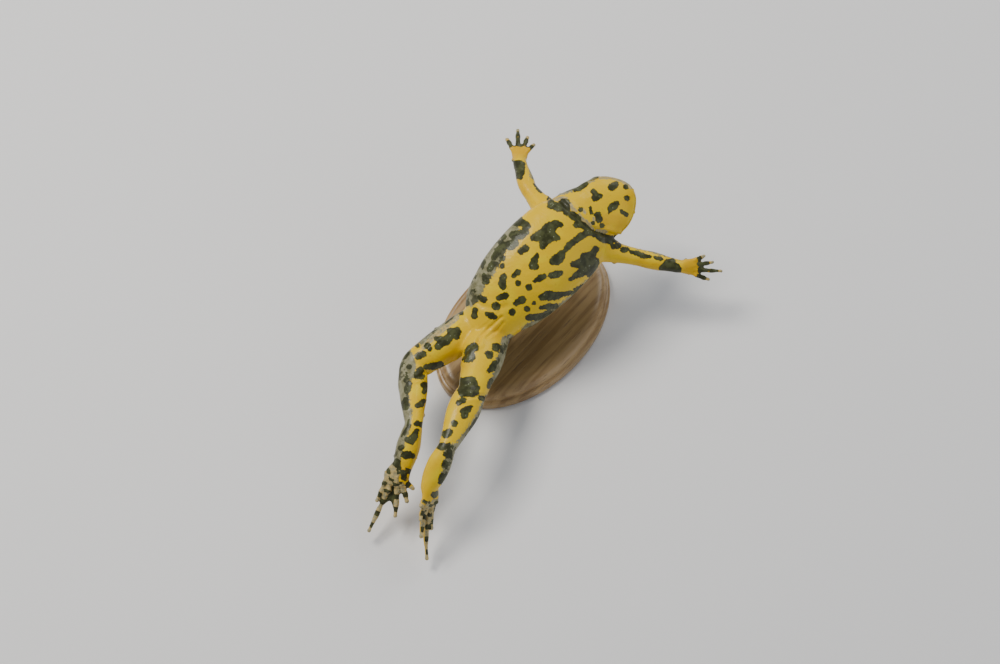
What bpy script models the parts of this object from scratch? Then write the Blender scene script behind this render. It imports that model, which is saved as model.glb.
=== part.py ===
"""A yellow-bellied fire toad at life size, swimming belly up with its limbs spread, on a stand.

Sizes are in millimetres and become metres where a mesh is made. The body frame has x to the
animal's left, y towards its head and z out of its belly. The posed body is then pitched and
rolled, lifted until its lowest toe clears the floor, and centred over the origin.
"""
import math

import bmesh
import bpy
import numpy as np
from mathutils import Matrix, Vector
from mathutils.bvhtree import BVHTree

MM = 0.001
GAP = 0.3

# How the trunk lies: head end up, and the belly leaning to the animal's left
PITCH = math.radians(11)
ROLL = math.radians(30)
FLOOR_CLEARANCE = 2.5

# Trunk from the vent to the neck: centre, half width, belly depth, back depth, twist in degrees
TRUNK = (
    ((0.9, -5.4, -1.9), 2.0, 1.8, 2.2, -9),
    ((0.8, -3.8, -1.4), 3.8, 3.2, 3.8, -9),
    ((0.0, 0.0, 0.0), 5.3, 4.3, 4.9, -8),
    ((-0.9, 4.8, 0.8), 7.5, 5.2, 5.6, -4),
    ((-0.9, 11.7, 2.0), 9.0, 6.1, 6.2, 0),
    ((-0.4, 18.8, 2.7), 9.4, 6.0, 6.2, 4),
    ((0.2, 24.7, 3.1), 8.9, 5.1, 5.6, 7),
    ((0.2, 28.6, 3.2), 6.8, 4.2, 4.9, 5),
    ((1.2, 31.6, 3.3), 5.6, 3.2, 4.0, 0),
)

# Plane that parts the head from the trunk
NECK_CUT = (0.9, 30.8, 2.9)
NECK_WAY = (-0.12, 1.0, 0.0)
NECK_REACH = 7.6

# Slab that parts the thighs: its place along them and its radius
GROIN_SHARE = 0.5
GROIN_REACH = 4.3

# Head: its axis, then how far along it each section lies, half width, throat depth, crown depth
HEAD_START = Vector((-0.1, 27.6, 3.1))
HEAD_AIM = Vector((4.2, 39.7, 3.7))
HEAD = (
    (0.02, 5.6, 3.3, 4.4),
    (0.17, 6.1, 3.3, 4.4),
    (0.34, 6.35, 3.1, 4.3),
    (0.50, 6.2, 2.8, 4.1),
    (0.66, 5.6, 2.4, 3.5),
    (0.80, 4.5, 2.0, 2.8),
    (0.90, 3.3, 1.6, 2.2),
    (0.97, 1.9, 1.1, 1.5),
    (1.00, 0.8, 0.6, 0.8),
)
MOUTH_HEIGHT = 0.75
MOUTH_FROM = 0.42
LIP_GROOVE = 0.28
SNOUT_WIDTH = 0.4
NOSTRIL = 0.32
NOSTRIL_PLACE = (0.93, 1.25, -1.75)

# Eyes: along the head's axis, out from it and towards the crown, and where they look
EYE_RADIUS = 1.9
EYE_PLACE = (0.58, 3.5, -2.8)
EYE_LOOK = (0.78, 0.18, -0.60)
LID = 0.55
LID_OPENING = (1.75, 1.4)
PLUG_LENGTH = 5.0

# Limb joints in the body frame
ARMS = {
    "right": ((-5.0, 24.8, 1.2), (-11.3, 27.1, -3.4), (-15.1, 30.8, -7.6)),
    "left": ((6.3, 26.3, 2.2), (14.4, 30.9, 1.8), (21.5, 34.9, 2.4)),
}
LEGS = {
    "right": ((-1.6, -1.0, -1.4), (-5.9, -16.1, -2.0), (0.5, -26.4, 5.8), (4.0, -33.3, 5.4)),
    "left": ((1.4, -0.8, 0.0), (4.9, -13.6, 7.1), (7.3, -26.3, 11.8), (9.9, -33.4, 9.7)),
}

# Half widths along each length of a limb, from its root to its end
UPPER_ARM = (2.9, 2.6, 2.2, 1.9, 1.75)
FOREARM = (1.75, 1.85, 1.75, 1.55, 1.4)
THIGH = {"right": (3.7, 3.9, 3.8, 3.4, 2.9), "left": (3.9, 4.3, 4.2, 3.5, 2.9)}
SHANK = {"right": (2.7, 3.0, 2.8, 2.25, 1.75), "left": (2.8, 3.3, 3.1, 2.4, 1.75)}
TARSUS = (1.75, 2.15, 2.4, 2.35, 2.05)
FLATNESS = 0.86

# A limb's length runs on past its ends by a share of its width there, drawn in to a share of it
END_REACH = 0.7
END_WIDTH = 0.6
OVERRUN = 1.0

# Digits: how far the tip reaches from the wrist or heel, its spread from the longest digit in
# degrees, and the place of its knuckle across the pad
FINGERS = ((6.0, 40, 1.15), (7.4, 16, 0.45), (9.2, -4, -0.35), (7.2, -30, -1.1))
TOES = ((5.6, 49, 1.9), (7.9, 32, 1.05), (11.0, 18, 0.15), (15.6, 0, -0.75), (9.6, -8, -1.7))
FINGER_RADIUS = 0.6
TOE_RADIUS = 0.66
WEB_THICKNESS = 0.5
WEB_REACH = 0.66
WEB_NOTCH = 0.35

# Pads that carry the digits: length, half width, half depth, and the share of width at the root
PALM = (3.7, 1.75, 0.95)
SOLE = (4.4, 2.6, 1.2)
PAD_ROOT = (0.8, 1.45)
PAD_MIDDLE = (0.95, 1.0)
PAD_END = (1.0, 0.75)
PAD_TIP = (0.6, 0.4)
KNUCKLE_REACH = 0.72
CURL = 0.06
ROOT_CUT = 6.0

# A digit's width: how much it loses to its tip, and how much its joints swell
DIGIT_TAPER = 0.28
DIGIT_SWELL = 0.09

# Where the longest digit points, the side that the first digit lies on, and how far the digits open
HAND_AIM = {"right": (-3.3, 6.3, -5.3), "left": (7.3, 5.7, 1.1)}
HAND_SIDE = {"right": (0.72, 0.63, 0.28), "left": (-2.0, 3.0, 1.2)}
HAND_OPEN = {"right": 0.75, "left": 0.65}
FOOT_AIM = {"right": (4.4, -14.3, -4.6), "left": (10.3, -11.7, -3.4)}
FOOT_SIDE = {"right": (4.6, -1.8, 0.6), "left": (-0.9, -0.5, 0.9)}
FOOT_OPEN = {"right": 1.0, "left": 0.7}
MIRROR = {"right": 1, "left": -1}

# Warts on the back: their radii, how far apart they stand, how far out they are looked for, how far
# round the trunk they go in degrees, and how flat and how deep in the skin they sit
WART_COUNT = 46
WART_RADII = (0.55, 0.95)
WART_SPACING = 1.8
WART_REACH = 12
WART_ARC = 82
WART_FLATNESS = 0.7
WART_DEPTH = 0.25
WART_SEED = 7

# Where the slabs that part the flesh stand along upper arms and thighs, and their radii
SHOULDER_SHARE = 0.46
HIP_SHARE = 0.27
SLAB_RADII = {
    "shoulder": 3.6,
    "elbow": 3.0,
    "wrist": 2.6,
    "hip": 5.0,
    "knee": 4.4,
    "ankle": 3.0,
    "heel": 2.9,
}

# Remeshing of the fused flesh
VOXEL = 0.42
SMOOTHING = 7
FLESH_TRIANGLES = 5400
SCRAP_SIZE = 60

# Stand: an oval base and two upright rods that end in sockets in the back
BASE_SIZE = (28.0, 44.0, 4.0)
BASE_CENTRE = (0.0, 11.0)
BASE_EDGE = 0.8
ROD_RADIUS = 1.1
ROD_SINK = 2.4
ROD_PLACES = {"front": (0.4, 20.5), "rear": (-0.6, 4.0)}

COLOURS = {
    "skin": (0.86, 0.55, 0.02),
    "mottled": (0.42, 0.36, 0.08),
    "eye": (0.25, 0.16, 0.04),
    "wood": (0.62, 0.44, 0.26),
    "steel": (0.62, 0.63, 0.65),
}

POSE = Matrix.Rotation(PITCH, 4, "X") @ Matrix.Rotation(ROLL, 4, "Y")
HEAD_AXIS = (HEAD_AIM - HEAD_START).normalized()
HEAD_LENGTH = (HEAD_AIM - HEAD_START).length
HEAD_ACROSS = HEAD_AXIS.cross(Vector((0, 0, 1))).normalized()
HEAD_UP = HEAD_ACROSS.cross(HEAD_AXIS)


def clear_scene():
    """Remove every object that the scene holds."""
    for item in list(bpy.data.objects):
        bpy.data.objects.remove(item, do_unlink=True)


def new_collection(name):
    """Return a new collection linked to the scene."""
    collection = bpy.data.collections.new(name)
    bpy.context.scene.collection.children.link(collection)
    return collection


def make_material(name, colour, roughness, metallic=0.0):
    """Return a Principled material of one colour."""
    material = bpy.data.materials.new(name)
    material.use_nodes = True
    shader = material.node_tree.nodes["Principled BSDF"]
    shader.inputs["Base Color"].default_value = (*colour, 1.0)
    shader.inputs["Roughness"].default_value = roughness
    shader.inputs["Metallic"].default_value = metallic
    return material


def object_from(name, mesh, collection):
    """Return a new object that holds the mesh."""
    item = bpy.data.objects.new(name, mesh)
    collection.objects.link(item)
    return item


def evaluated_mesh(item):
    """Return a new mesh of the object with its modifiers applied."""
    bpy.context.view_layer.update()
    graph = bpy.context.evaluated_depsgraph_get()
    return bpy.data.meshes.new_from_object(item.evaluated_get(graph))


def apply_modifiers(item):
    """Put the evaluated mesh into the object and drop its modifiers."""
    mesh = evaluated_mesh(item)
    item.modifiers.clear()
    item.data = mesh


def posed(point):
    """Turn a point of the body frame, in millimetres, into metres in the posed frame."""
    return (POSE @ Vector(point)) * MM


def smooth_rows(rows, steps):
    """Read a Catmull-Rom curve through the rows, with some steps between each two."""
    rows = np.asarray(rows, float)
    padded = np.vstack([2 * rows[0] - rows[1], rows, 2 * rows[-1] - rows[-2]])
    t = np.linspace(0, 1, steps, endpoint=False)[:, None]
    out = []
    for a, b, c, d in zip(padded, padded[1:], padded[2:], padded[3:]):
        out.append(
            0.5 * (2 * b + (c - a) * t + (2 * a - 5 * b + 4 * c - d) * t**2 + (3 * b - a - 3 * c + d) * t**3)
        )
    out.append(rows[-1:])
    return np.vstack(out)


def loft(name, centres, widths, bellies, backs, belly_way, collection, sides=20, twists=None):
    """Make a closed skin through oval sections that stand square to a path.

    Each section is an ellipse of its half width, with one depth towards the belly and another
    towards the back. Twists turn the sections about the path.
    """
    centres = np.asarray(centres, float)
    along = np.gradient(centres, axis=0)
    along /= np.linalg.norm(along, axis=1)[:, None]
    across = np.cross(along, np.asarray(belly_way, float))
    across /= np.linalg.norm(across, axis=1)[:, None]
    belly = np.cross(across, along)
    if twists is not None:
        turn = np.radians(np.asarray(twists, float))[:, None]
        across, belly = (
            across * np.cos(turn) - belly * np.sin(turn),
            belly * np.cos(turn) + across * np.sin(turn),
        )
    angle = np.linspace(0, 2 * math.pi, sides, endpoint=False)
    mesh = bmesh.new()
    rings = []
    for centre, a, b, width, deep, high in zip(centres, across, belly, widths, bellies, backs):
        depth = np.where(np.sin(angle) > 0, deep, high)
        ring = centre + np.outer(np.cos(angle) * width, a) + np.outer(np.sin(angle) * depth, b)
        rings.append([mesh.verts.new(posed(point)) for point in ring])
    for near, far in zip(rings, rings[1:]):
        for i in range(sides):
            j = (i + 1) % sides
            mesh.faces.new((near[i], near[j], far[j], far[i]))
    mesh.faces.new(rings[0])
    mesh.faces.new(reversed(rings[-1]))
    bmesh.ops.recalc_face_normals(mesh, faces=mesh.faces)
    data = bpy.data.meshes.new(name)
    mesh.to_mesh(data)
    mesh.free()
    return object_from(name, data, collection)


def trunk_piece(collection):
    """Make the trunk from its sections."""
    table = [(*centre, width, belly, back, twist) for centre, width, belly, back, twist in TRUNK]
    rows = smooth_rows(table, 5)
    return loft(
        "trunk", rows[:, :3], rows[:, 3], rows[:, 4], rows[:, 5], (0, 0, 1), collection, 32, rows[:, 6]
    )


def head_piece(collection):
    """Make the head from its sections along its own axis."""
    rows = smooth_rows(HEAD, 4)
    centres = [HEAD_START + HEAD_AXIS * (HEAD_LENGTH * place) for place in rows[:, 0]]
    return loft("skull", centres, rows[:, 1], rows[:, 2], rows[:, 3], HEAD_UP, collection, 32)


def head_point(place, out, up):
    """Return a point of the head frame, with up towards the throat, in the body frame."""
    return HEAD_START + HEAD_AXIS * (HEAD_LENGTH * place) + HEAD_ACROSS * out + HEAD_UP * up


def eye_frame(side):
    """Return an eye's centre and the way it looks, in the body frame."""
    place, out, up = EYE_PLACE
    look = HEAD_AXIS * EYE_LOOK[1] + HEAD_ACROSS * (EYE_LOOK[0] * side) + HEAD_UP * EYE_LOOK[2]
    return head_point(place, out * side, up), look.normalized()


def ball(name, centre, radius, collection, look=None, rings=12):
    """Make a sphere, with its poles along the way it looks."""
    mesh = bmesh.new()
    bmesh.ops.create_uvsphere(mesh, u_segments=rings * 2, v_segments=rings, radius=radius * MM)
    turn = Matrix.Identity(4)
    if look is not None:
        way = POSE.to_3x3() @ Vector(look)
        turn = way.to_track_quat("Z", "Y").to_matrix().to_4x4()
    bmesh.ops.transform(mesh, matrix=Matrix.Translation(posed(centre)) @ turn, verts=mesh.verts)
    data = bpy.data.meshes.new(name)
    mesh.to_mesh(data)
    mesh.free()
    return object_from(name, data, collection)


def limb_piece(name, start, end, radii, collection, belly_way=(0, 0, 1), overrun=0.0):
    """Make one length of a limb between two joints, rounded where it meets the next."""
    start, end = Vector(start), Vector(end)
    way = (end - start).normalized()
    stop = end + way * overrun
    count = len(radii)
    places = [start + (end - start) * (i / (count - 1)) for i in range(count)]
    places = [start - way * (radii[0] * END_REACH), *places, stop + way * (radii[-1] * END_REACH)]
    sizes = [radii[0] * END_WIDTH, *radii, radii[-1] * END_WIDTH]
    rows = smooth_rows([(*place, size) for place, size in zip(places, sizes)], 3)
    depths = rows[:, 3] * FLATNESS
    return loft(name, rows[:, :3], rows[:, 3], depths, depths, belly_way, collection, 16)


def fuse(name, pieces, collection, solver="MANIFOLD"):
    """Join closed pieces into one by a Boolean union, and keep its largest closed surface."""
    first, rest = pieces[0], pieces[1:]
    group = bpy.data.collections.new(name + "_pieces")
    bpy.context.scene.collection.children.link(group)
    for piece in rest:
        group.objects.link(piece)
    union = first.modifiers.new("union", "BOOLEAN")
    union.operation = "UNION"
    union.operand_type = "COLLECTION"
    union.collection = group
    union.solver = solver
    mesh = evaluated_mesh(first)
    for piece in pieces:
        bpy.data.objects.remove(piece, do_unlink=True)
    bpy.data.collections.remove(group)
    item = object_from(name, mesh, collection)
    keep_largest(item)
    return item


def islands(mesh):
    """Return the connected groups of vertices of a bmesh."""
    seen = set()
    groups = []
    for start in mesh.verts:
        if start in seen:
            continue
        group = []
        queue = [start]
        seen.add(start)
        while queue:
            vert = queue.pop()
            group.append(vert)
            for edge in vert.link_edges:
                other = edge.other_vert(vert)
                if other not in seen:
                    seen.add(other)
                    queue.append(other)
        groups.append(group)
    return groups


def keep_largest(item):
    """Delete all but the largest closed surface of the object."""
    mesh = bmesh.new()
    mesh.from_mesh(item.data)
    groups = sorted(islands(mesh), key=len)
    for group in groups[:-1]:
        bmesh.ops.delete(mesh, geom=group, context="VERTS")
    mesh.to_mesh(item.data)
    mesh.free()


def cut(item, cutters, solver="MANIFOLD"):
    """Cut a group of closed cutters out of the object."""
    group = bpy.data.collections.new(item.name + "_cutters")
    bpy.context.scene.collection.children.link(group)
    for cutter in cutters:
        group.objects.link(cutter)
        cutter.hide_render = True
        cutter.display_type = "WIRE"
    difference = item.modifiers.new("cut", "BOOLEAN")
    difference.operation = "DIFFERENCE"
    difference.operand_type = "COLLECTION"
    difference.collection = group
    difference.solver = solver
    apply_modifiers(item)
    for cutter in cutters:
        bpy.data.objects.remove(cutter, do_unlink=True)
    bpy.data.collections.remove(group)


def disc(name, centre, way, radius, thickness, collection):
    """Make a thin round slab that stands square to a way."""
    mesh = bmesh.new()
    bmesh.ops.create_cone(
        mesh,
        cap_ends=True,
        segments=32,
        radius1=radius * MM,
        radius2=radius * MM,
        depth=thickness * MM,
    )
    turn = (POSE.to_3x3() @ Vector(way)).to_track_quat("Z", "Y").to_matrix().to_4x4()
    bmesh.ops.transform(mesh, matrix=Matrix.Translation(posed(centre)) @ turn, verts=mesh.verts)
    data = bpy.data.meshes.new(name)
    mesh.to_mesh(data)
    mesh.free()
    return object_from(name, data, collection)


def flesh_piece(collection):
    """Fuse trunk, head and the lengths of the limbs, and smooth the joins."""
    pieces = [trunk_piece(collection), head_piece(collection)]
    for side in (-1, 1):
        centre, look = eye_frame(side)
        pieces.append(ball("brow", centre, EYE_RADIUS + GAP + LID, collection, look=look))
    for side, (shoulder, elbow, wrist) in ARMS.items():
        pieces.append(limb_piece("upper_arm_" + side, shoulder, elbow, UPPER_ARM, collection))
        pieces.append(limb_piece("forearm_" + side, elbow, wrist, FOREARM, collection, overrun=OVERRUN))
    for side, (hip, knee, ankle, foot) in LEGS.items():
        pieces.append(limb_piece("thigh_" + side, hip, knee, THIGH[side], collection))
        pieces.append(limb_piece("shank_" + side, knee, ankle, SHANK[side], collection))
        pieces.append(limb_piece("tarsus_" + side, ankle, foot, TARSUS, collection, overrun=OVERRUN))
    flesh = fuse("flesh", pieces, collection)
    remesh = flesh.modifiers.new("remesh", "REMESH")
    remesh.mode = "VOXEL"
    remesh.voxel_size = VOXEL * MM
    smooth = flesh.modifiers.new("smooth", "SMOOTH")
    smooth.factor = 0.5
    smooth.iterations = SMOOTHING
    apply_modifiers(flesh)
    thin = flesh.modifiers.new("thin", "DECIMATE")
    thin.ratio = FLESH_TRIANGLES / (2 * len(flesh.data.polygons))
    apply_modifiers(flesh)
    return flesh


def mouth_groove(collection):
    """Make the tube that cuts the line of the mouth round the snout."""
    rows = smooth_rows(HEAD, 3)
    rows = rows[rows[:, 0] >= MOUTH_FROM]
    side = []
    for place, width, throat, _ in rows:
        share = min(1.0, MOUTH_HEIGHT / throat)
        side.append((place, width * math.sqrt(1 - share**2)))
    side = [pair for pair in side if pair[1] > SNOUT_WIDTH]
    route = [(place, -out) for place, out in side] + [(place, out) for place, out in reversed(side)]
    curve = bpy.data.curves.new("mouth", "CURVE")
    curve.dimensions = "3D"
    curve.bevel_depth = LIP_GROOVE * MM
    curve.bevel_resolution = 1
    curve.use_fill_caps = True
    spline = curve.splines.new("POLY")
    spline.points.add(len(route) - 1)
    for point, (place, out) in zip(spline.points, route):
        point.co = (*posed(head_point(place, out, MOUTH_HEIGHT)), 1.0)
    guide = object_from("mouth_guide", curve, collection)
    mesh = evaluated_mesh(guide)
    bpy.data.objects.remove(guide, do_unlink=True)
    solid = bmesh.new()
    solid.from_mesh(mesh)
    bmesh.ops.remove_doubles(solid, verts=solid.verts, dist=0.00001)
    solid.to_mesh(mesh)
    solid.free()
    return object_from("mouth_groove", mesh, collection)


def lid_cutter(side, collection):
    """Make the oval plug that opens the lids in front of the eye."""
    centre, look = eye_frame(side)
    plug = disc("lid_opening", centre + look * (PLUG_LENGTH / 2), look, 1.0, PLUG_LENGTH, collection)
    middle = posed(centre)
    way = (POSE.to_3x3() @ look).normalized()
    long_way = (POSE.to_3x3() @ HEAD_AXIS).normalized()
    long_way = (long_way - way * long_way.dot(way)).normalized()
    short_way = way.cross(long_way)
    for vert in plug.data.vertices:
        offset = vert.co - middle
        far = offset.dot(way)
        vert.co = (
            middle
            + way * far
            + long_way * (offset.dot(long_way) * LID_OPENING[0])
            + short_way * (offset.dot(short_way) * LID_OPENING[1])
        )
    return plug


def split_flesh(flesh, seeds, collection):
    """Part the cut flesh into its closed pieces, each named by the seed point it lies nearest."""
    mesh = bmesh.new()
    mesh.from_mesh(flesh.data)
    groups = [group for group in islands(mesh) if len(group) > SCRAP_SIZE]
    centres = [sum((vert.co for vert in group), Vector()) / len(group) for group in groups]
    nodes = {}
    for name, seed in seeds.items():
        target = posed(seed)
        nearest = min(range(len(groups)), key=lambda i: (centres[i] - target).length)
        piece = bmesh.new()
        index = {vert: piece.verts.new(vert.co) for vert in groups[nearest]}
        faces = {face for vert in groups[nearest] for face in vert.link_faces}
        for face in sorted(faces, key=lambda face: face.index):
            piece.faces.new([index[vert] for vert in face.verts])
        data = bpy.data.meshes.new(name)
        piece.to_mesh(data)
        piece.free()
        nodes[name] = object_from(name, data, collection)
    mesh.free()
    bpy.data.objects.remove(flesh, do_unlink=True)
    return nodes


def middle(a, b, share=0.5):
    """Return the point that lies a share of the way from one point to another."""
    return Vector(a).lerp(Vector(b), share)


def ways(*joints):
    """Return the way from each joint to the next, of length one."""
    return [(Vector(end) - Vector(start)).normalized() for start, end in zip(joints, joints[1:])]


def joint_cuts(collection):
    """Make the thin slabs that part the flesh at its joints."""
    slabs = [disc("neck", NECK_CUT, NECK_WAY, NECK_REACH, GAP, collection)]

    def slab(name, place, way):
        slabs.append(disc(name, place, way, SLAB_RADII[name], GAP, collection))

    for shoulder, elbow, wrist in ARMS.values():
        upper, lower = ways(shoulder, elbow, wrist)
        slab("shoulder", middle(shoulder, elbow, SHOULDER_SHARE), upper)
        slab("elbow", elbow, upper + lower)
        slab("wrist", wrist, lower)
    groin = [middle(hip, knee, GROIN_SHARE) for hip, knee, _, _ in LEGS.values()]
    slabs.append(disc("groin", middle(*groin), groin[1] - groin[0], GROIN_REACH, GAP, collection))
    for hip, knee, ankle, foot in LEGS.values():
        thigh, shank, tarsus = ways(hip, knee, ankle, foot)
        slab("hip", middle(hip, knee, HIP_SHARE), thigh)
        slab("knee", knee, thigh + shank)
        slab("ankle", ankle, shank + tarsus)
        slab("heel", foot, tarsus)
    return slabs


def joint_seeds():
    """Return a point in the middle of each node of flesh."""
    seeds = {"torso": Vector(TRUNK[4][0]), "head": head_point(EYE_PLACE[0], 0, 0)}
    for side, (shoulder, elbow, wrist) in ARMS.items():
        seeds["upper_arm_" + side] = middle(shoulder, elbow, (1 + SHOULDER_SHARE) / 2)
        seeds["forearm_" + side] = middle(elbow, wrist)
    for side, (hip, knee, ankle, foot) in LEGS.items():
        seeds["thigh_" + side] = middle(hip, knee, (1 + HIP_SHARE) / 2)
        seeds["shank_" + side] = middle(knee, ankle)
        seeds["tarsus_" + side] = middle(ankle, foot)
    return seeds


def digit_path(knuckle, tip, normal, curl):
    """Return points along a digit that bends a little towards its palm or sole."""
    length = (tip - knuckle).length
    shares = np.linspace(0, 1, 4)
    return [knuckle.lerp(tip, t) - normal * (curl * length * 4 * t * (1 - t)) for t in shares]


def digit_piece(name, path, radius, normal, collection):
    """Make one finger or toe, thicker at its joints and round at its tip."""
    rows = smooth_rows([tuple(point) for point in path], 2)
    count = len(rows)
    t = np.linspace(0, 1, count)
    swell = 1.0 - DIGIT_TAPER * t + DIGIT_SWELL * np.cos(t * 6 * math.pi)
    round_tip = np.sqrt(np.clip(1.03 - t**12, 0.12, 1))
    sizes = radius * swell * round_tip
    return loft(name, rows, sizes, sizes * 0.9, sizes * 0.9, normal, collection, 8)


def web_piece(name, path_a, path_b, collection):
    """Make the web between two toes, notched along its free edge."""
    shorter = min((path_a[-1] - path_a[0]).length, (path_b[-1] - path_b[0]).length)
    rows, columns = 6, 5
    mesh = bmesh.new()
    grid = []
    for i in range(rows):
        line = []
        for j in range(columns):
            across = j / (columns - 1)
            notch = 1 - WEB_NOTCH * math.sin(math.pi * across)
            reach = shorter * WEB_REACH * notch * i / (rows - 1)
            ends = []
            for path in (path_a, path_b):
                length = (path[-1] - path[0]).length
                place = reach / length * (len(path) - 1)
                step = min(int(place), len(path) - 2)
                ends.append(path[step].lerp(path[step + 1], place - step))
            line.append(mesh.verts.new(posed(ends[0].lerp(ends[1], across))))
        grid.append(line)
    for i in range(rows - 1):
        for j in range(columns - 1):
            a, b, c, d = grid[i][j], grid[i][j + 1], grid[i + 1][j + 1], grid[i + 1][j]
            mesh.faces.new((a, b, c))
            mesh.faces.new((a, c, d))
    data = bpy.data.meshes.new(name)
    mesh.to_mesh(data)
    mesh.free()
    item = object_from(name, data, collection)
    sheet = item.modifiers.new("thickness", "SOLIDIFY")
    sheet.thickness = WEB_THICKNESS * MM
    sheet.offset = 0
    apply_modifiers(item)
    return item


def extremity(name, before, root, aim, side_way, mirror, opening, digits, radius, pad, webbed, collection):
    """Make a hand or a foot: its pad, its digits and any webs, fused."""
    before, root, aim = Vector(before), Vector(root), Vector(aim).normalized()
    across = Vector(side_way)
    across = (across - aim * across.dot(aim)).normalized()
    normal = aim.cross(across) * mirror
    entry = (root - before).normalized()
    start = root + entry * (GAP / 2)
    reach, width, depth = pad
    stations = (
        (start - entry, PAD_ROOT),
        (start + entry * 0.3, PAD_ROOT),
        (start.lerp(root + aim * reach, 0.5), PAD_MIDDLE),
        (root + aim * reach, PAD_END),
        (root + aim * (reach * 1.3), PAD_TIP),
    )
    rows = smooth_rows([(*place, width * wide, depth * deep) for place, (wide, deep) in stations], 2)
    root_cut = disc("root_cut", start - entry * (ROOT_CUT / 2), entry, ROOT_CUT, ROOT_CUT, collection)
    pieces = [loft("pad", rows[:, :3], rows[:, 3], rows[:, 4], rows[:, 4], normal, collection, 14)]
    paths = []
    for length, spread, place in digits:
        turn = math.radians(spread * opening)
        tip = root + (aim * math.cos(turn) + across * math.sin(turn)) * length
        knuckle = root + aim * (reach * KNUCKLE_REACH) + across * place
        paths.append(digit_path(knuckle, tip, normal, CURL))
    for path in paths:
        pieces.append(digit_piece("digit", path, radius, normal, collection))
    if webbed:
        for path_a, path_b in zip(paths, paths[1:]):
            pieces.append(web_piece("web", path_a, path_b, collection))
    item = fuse(name, pieces, collection)
    cut(item, [root_cut])
    keep_largest(item)
    return item


def wart_pieces(flesh, collection):
    """Make low domes over the back of the trunk, sunk into its surface."""
    tree = BVHTree.FromObject(flesh, bpy.context.evaluated_depsgraph_get())
    rng = np.random.default_rng(WART_SEED)
    table = smooth_rows([(*row[0], row[1]) for row in TRUNK[2:8]], 8)
    warts = []
    placed = []
    while len(warts) < WART_COUNT:
        centre = table[rng.integers(len(table))]
        angle = math.radians(rng.uniform(-WART_ARC, WART_ARC))
        way = POSE.to_3x3() @ Vector((math.sin(angle), 0, -math.cos(angle)))
        start = posed(centre[:3])
        hit, normal, _, _ = tree.ray_cast(start + way * (WART_REACH * MM), -way)
        radius = rng.uniform(*WART_RADII)
        if hit is None or any((hit - other).length < WART_SPACING * MM for other in placed):
            continue
        placed.append(hit)
        mesh = bmesh.new()
        bmesh.ops.create_icosphere(mesh, subdivisions=2, radius=radius * MM)
        bmesh.ops.scale(mesh, verts=mesh.verts, vec=(1, 1, WART_FLATNESS))
        turn = normal.to_track_quat("Z", "Y").to_matrix().to_4x4()
        place = Matrix.Translation(hit - normal * (radius * WART_DEPTH * MM)) @ turn
        bmesh.ops.transform(mesh, matrix=place, verts=mesh.verts)
        data = bpy.data.meshes.new("wart")
        mesh.to_mesh(data)
        mesh.free()
        warts.append(object_from("wart", data, collection))
    return warts


def bounds_of(items):
    """Return the lowest and highest corners of some objects' meshes."""
    corners = np.array([item.matrix_world @ vert.co for item in items for vert in item.data.vertices])
    return corners.min(axis=0), corners.max(axis=0)


def rod(name, place, foot, top, radius, collection):
    """Make an upright round rod."""
    mesh = bmesh.new()
    bmesh.ops.create_cone(
        mesh,
        cap_ends=True,
        segments=24,
        radius1=radius * MM,
        radius2=radius * MM,
        depth=top - foot,
    )
    shift = Matrix.Translation((place[0], place[1], (top + foot) / 2))
    bmesh.ops.transform(mesh, matrix=shift, verts=mesh.verts)
    data = bpy.data.meshes.new(name)
    mesh.to_mesh(data)
    mesh.free()
    return object_from(name, data, collection)


def base_piece(name, centre, collection):
    """Make the oval base with rounded edges, its underside on the floor."""
    width, length, height = BASE_SIZE
    mesh = bmesh.new()
    bmesh.ops.create_cone(mesh, cap_ends=True, segments=48, radius1=0.5, radius2=0.5, depth=1.0)
    bmesh.ops.scale(mesh, verts=mesh.verts, vec=(width * MM, length * MM, height * MM))
    shift = Matrix.Translation((centre[0], centre[1], height * MM / 2))
    bmesh.ops.transform(mesh, matrix=shift, verts=mesh.verts)
    data = bpy.data.meshes.new(name)
    mesh.to_mesh(data)
    mesh.free()
    item = object_from(name, data, collection)
    edge = item.modifiers.new("edge", "BEVEL")
    edge.width = BASE_EDGE * MM
    edge.segments = 2
    return item


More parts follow.
